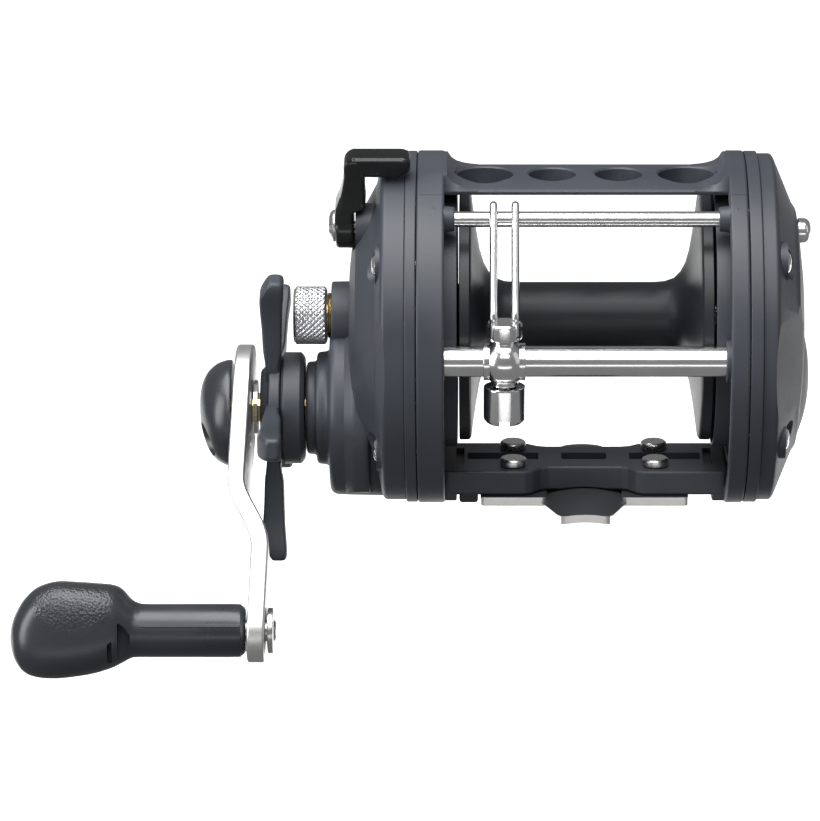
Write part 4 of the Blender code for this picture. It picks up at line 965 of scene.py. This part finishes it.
def arm_surface(s, half_width, rise, edge):
    """A point of the arm, at a rise from its outer face and on the side that edge names, -1 or 1."""
    slope = (arm_outer(s + 0.1) - arm_outer(s - 0.1)) / 0.2
    return arm_point(arm_outer(s) + rise * math.sqrt(1 + slope ** 2), s, edge * half_width)


def arm_half_outline(depth):
    """(s, half width) along the arm, for its outline moved inwards by a depth."""
    big, small = ARM_BIG_RADIUS - depth, ARM_SMALL_RADIUS - depth
    tilt = math.asin((big - small) / ARM_LENGTH)
    points = []
    for i in range(19):
        turn = math.pi - (math.pi / 2 + tilt) * i / 18
        points.append((big * math.cos(turn), big * math.sin(turn)))
    start = (big * math.sin(tilt), big * math.cos(tilt))
    end = (ARM_LENGTH + small * math.sin(tilt), small * math.cos(tilt))
    for i in range(1, 60):
        share = i / 60
        points.append(tuple(a + (b - a) * share for a, b in zip(start, end)))
    for i in range(15):
        turn = (math.pi / 2 - tilt) * (1 - i / 14)
        points.append((ARM_LENGTH + small * math.cos(turn), small * math.sin(turn)))
    return points


def handle_arm():
    """The bent crank arm, a plate with softened edges."""
    levels = edge_levels(ARM_EDGE, 4)
    levels += [(depth, ARM_THICKNESS - rise) for depth, rise in levels[::-1]]
    outlines = [(arm_half_outline(depth), rise) for depth, rise in levels]
    sections = []
    for i in range(len(outlines[0][0])):
        loop = [arm_surface(*outline[i], rise, -1) for outline, rise in outlines]
        loop += [arm_surface(*outline[i], rise, 1) for outline, rise in outlines[::-1]]
        sections.append(loop)
    screw_axis = forward(CRANK_AXIS, 9.6, ARM_ANGLE)
    arm = cut(loft(sections), rod(-95, -70, 3.9, CRANK_AXIS), rod(-95, -70, 2.9, KNOB_AXIS),
              rod(-95, -70, 1.5, screw_axis, 24))
    place("crank_arm", arm, ALUMINIUM, "crank", ["handle_arm"])
    nut_cap(screw_axis)


def nut_cap(screw_axis):
    """An egg-shaped dome over the nut, with a sunk screw on the side of the knob."""
    levels = smooth_line(((-86.2, 0.97), (-86.6, 1.0), (-88.0, 0.985), (-90.2, 0.9), (-92.2, 0.73),
                          (-93.5, 0.5), (-94.1, 0.28), (-94.3, 0.08)), 4)
    sides = 96
    sections = []
    for x, scale in levels:
        loop = []
        for k in range(sides):
            angle = math.tau * k / sides
            reach = 11.8 + 2.8 * max(0.0, math.cos(angle)) ** 1.5
            lean = -1.6 * (1.0 - scale)
            loop.append(arm_point(x, lean + reach * scale * math.cos(angle), reach * scale * math.sin(angle)))
        sections.append(loop)
    funnel = lathe([(-88.1, 0), (-88.1, 2.6), (-89.2, 2.75), (-95.0, 5.8), (-95.0, 0)], screw_axis, 48)
    cap = cut(loft(sections), rod(-91.4, -80.0, 6.4, CRANK_AXIS), funnel, rod(-100, -80, 1.5, screw_axis, 24))
    place("crank_cap", cap, KNOB, "crank", ["nut_cap"])


KNOB_TILT = 16.0


def handle_knob():
    """The grip. Each station has x, its lower and upper edges, its half depth and its squareness."""
    stations = smooth_line(((-81.5, -4.9, 4.9, 4.9, 2.0), (-81.8, -5.5, 5.5, 5.5, 2.0),
                            (-82.6, -6.1, 6.1, 6.1, 2.0), (-83.9, -6.4, 6.4, 6.4, 2.0),
                            (-95.0, -6.4, 6.4, 6.4, 2.0), (-105.0, -6.4, 6.4, 6.4, 2.0),
                            (-107.3, -6.4, 6.7, 6.4, 2.0), (-108.9, -6.6, 7.6, 6.6, 2.1),
                            (-111.0, -7.7, 9.9, 7.4, 2.2),
                            (-113.4, -8.9, 11.0, 8.2, 2.4), (-117.5, -10.2, 11.4, 8.8, 2.6),
                            (-122.0, -11.0, 11.7, 9.0, 2.7), (-127.0, -11.5, 11.8, 9.0, 2.7),
                            (-131.5, -11.2, 10.4, 8.6, 2.6), (-134.6, -10.0, 7.6, 7.6, 2.4),
                            (-136.6, -7.6, 4.3, 5.8, 2.2), (-137.5, -5.2, 1.9, 3.9, 2.1),
                            (-137.85, -3.4, 0.2, 2.2, 2.0), (-137.9, -2.2, -1.0, 0.8, 2.0)), 5)
    sides = 72
    sections = []
    for x, low, high, depth, power in stations:
        loop = []
        for k in range(sides):
            angle = math.tau * k / sides
            c, s = math.cos(angle), math.sin(angle)
            across = depth * math.copysign(abs(c) ** (2 / power), c)
            rise = (low + high) / 2 + (high - low) / 2 * math.copysign(abs(s) ** (2 / power), s)
            loop.append(knob_point(x, across, rise))
        sections.append(loop)
    knob = cut(loft(sections), rod(-108.0, -70.0, 2.9, KNOB_AXIS))
    slit = [(-114.3, -7.6), (-113.2, -7.4), (-113.2, -2.0), (-114.3, -3.0)]
    opening = [(-111.9, -7.4), (-110.4, -5.2), (-108.9, -2.6), (-108.9, -0.8), (-110.4, 1.3), (-111.9, 2.5)]
    for outline in (slit, opening):
        corners = rounded(outline, 0.5, closed=True)
        knob = cut(knob, loft([[knob_point(x, across, rise) for x, rise in corners]
                               for across in (-12.0, -3.7)]))
    seam = rod(-106.5, -83.0, 0.16, knob_point(0.0, -6.26, 1.3)[1:], 12)
    knob = union(knob, seam)
    place("crank_grip", knob, grip_material(), "knob", ["handle_knob"])
    spindle = [(-74.2, 0), (-74.2, 1.8), (-74.4, 2.3), (-74.8, 2.6), (-74.8, 5.0), (-75.0, 5.4),
               (-75.3, 5.5), (-76.1, 5.5), (-76.3, 5.3), (-76.3, 2.6), (-107.0, 2.6), (-107.0, 0)]
    place("grip_spindle", lathe(spindle, KNOB_AXIS, SMALL), STEEL, "crank",
          ["knob_spindle"])


def knob_point(x, across, rise):
    """A point of the knob, whose section is tilted back: across it, then up it."""
    tilt = math.radians(KNOB_TILT)
    return (x, KNOB_AXIS[0] + across * math.cos(tilt) + rise * math.sin(tilt),
            KNOB_AXIS[1] - across * math.sin(tilt) + rise * math.cos(tilt))


def grip_material():
    """The grip's plastic, with a leather-like patch on its upper front."""
    material = moulded("grip_black", (0.021, 0.0235, 0.028), 0.32, depth=0.05)
    tree = material.node_tree
    where = own_space(tree)
    distance = tree.nodes.new("ShaderNodeVectorMath")
    distance.operation = "DISTANCE"
    tree.links.new(where, distance.inputs[0])
    distance.inputs[1].default_value = Vector(knob_point(-122.6, -6.5, 8.5)) * MM
    inside = to_range(tree, distance.outputs["Value"], 1.0, 0.0, 0.0085, 0.0105)
    cells = add(tree, "TexVoronoi", Vector=where, Scale=1500.0)
    relief = combined(tree, "MULTIPLY", cells.outputs["Distance"], inside)
    normal = tree.nodes["Principled BSDF"].inputs["Normal"]
    pebbles = bump(tree, relief, 0.55, 0.00022, Normal=normal.links[0].from_socket)
    tree.links.new(pebbles, normal)
    return material


# ---------------------------------------------------------------- works inside

def works():
    """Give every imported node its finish; those that no piece replaces stay visible."""
    finish = {"stainless_steel": STEEL, "brass": BRASS, "white_nylon": NYLON, "carbon_fibre": CARBON,
              "chrome_plate": CHROME, "graphite_black": GRAPHITE, "gloss_black": GLOSS, "knob_black": KNOB,
              "satin_aluminium": ALUMINIUM}
    for part in frame["record"]["subparts"]:
        for slot in frame["nodes"][part["node"]].material_slots:
            slot.material = finish[part["material_slot"]]


# ---------------------------------------------------------------- studio

def emitter(name, place_at, aim, size, power):
    """A soft box: a rectangular light that faces a point."""
    data = bpy.data.lights.new(name, "AREA")
    data.shape = "RECTANGLE"
    data.size, data.size_y = size
    data.energy = power
    light = bpy.data.objects.new(name, data)
    light.location = place_at
    light.rotation_euler = (Vector(aim) - Vector(place_at)).to_track_quat("-Z", "Y").to_euler()
    bpy.context.scene.collection.objects.link(light)


CAMERA_PITCH = 17.11    # degrees below level
CAMERA_X = -22.2


def studio():
    """A pale floor behind the reel, soft boxes round it, and the camera, in metres."""
    scene = bpy.context.scene
    scene.view_settings.view_transform = "Standard"
    world = bpy.data.worlds.new("studio")
    scene.world = world
    world.use_nodes = True
    white = (1.0, 1.0, 1.0, 1.0)
    fill(world.node_tree, world.node_tree.nodes["Background"].inputs, Color=white, Strength=0.22)

    material, tree, shader = new_material("floor")
    fill(tree, shader, Base_Color=(0.95, 0.95, 0.95, 1.0), Roughness=0.9, Emission_Color=white,
         Emission_Strength=1.0)
    half_width, near, far, level = 0.9, 0.2, 3.2, -0.2
    corners = [(-half_width, near), (half_width, near), (half_width, far), (-half_width, far)]
    mesh = bpy.data.meshes.new("floor")
    mesh.from_pydata([(x, y, level) for x, y in corners], [], [(0, 1, 2, 3)])
    mesh.materials.append(material)
    floor = bpy.data.objects.new("floor", mesh)
    scene.collection.objects.link(floor)

    centre = (0.0, 0.0, 0.03)
    emitter("top_box", (-0.12, -0.15, 0.75), centre, (0.8, 0.5), 9.0)
    emitter("left_box", (-0.7, -0.35, 0.3), centre, (0.35, 0.7), 5.5)
    emitter("right_box", (0.7, -0.3, 0.35), centre, (0.35, 0.7), 0.4)
    emitter("front_box", (0.0, -1.0, 0.9), centre, (0.9, 0.25), 3.5)
    emitter("low_box", (0.0, -1.0, -0.2), centre, (1.2, 0.14), 1.0)

    distance, elevation = 1.2, math.radians(16.0)
    target = Vector((CAMERA_X, 0.0, SPOOL_AXIS[1])) * MM
    eye = target + distance * Vector((0.0, -math.cos(elevation), math.sin(elevation)))
    data = bpy.data.cameras.new("camera")
    data.sensor_width = 36.0
    data.lens = 215.4
    data.shift_x = -0.1018
    camera = bpy.data.objects.new("camera", data)
    camera.location = eye
    camera.rotation_euler = (math.radians(90.0 - CAMERA_PITCH), 0.0, 0.0)
    scene.collection.objects.link(camera)
    scene.camera = camera


frame_rings()
top_bar()
trim_rings()
left_cover()
right_cover()
cover_screws()
foot()
bars()
spool()
worm()
carriage()
lever()
star()
cast_control()
click_button()
handle_arm()
handle_knob()
works()
studio()
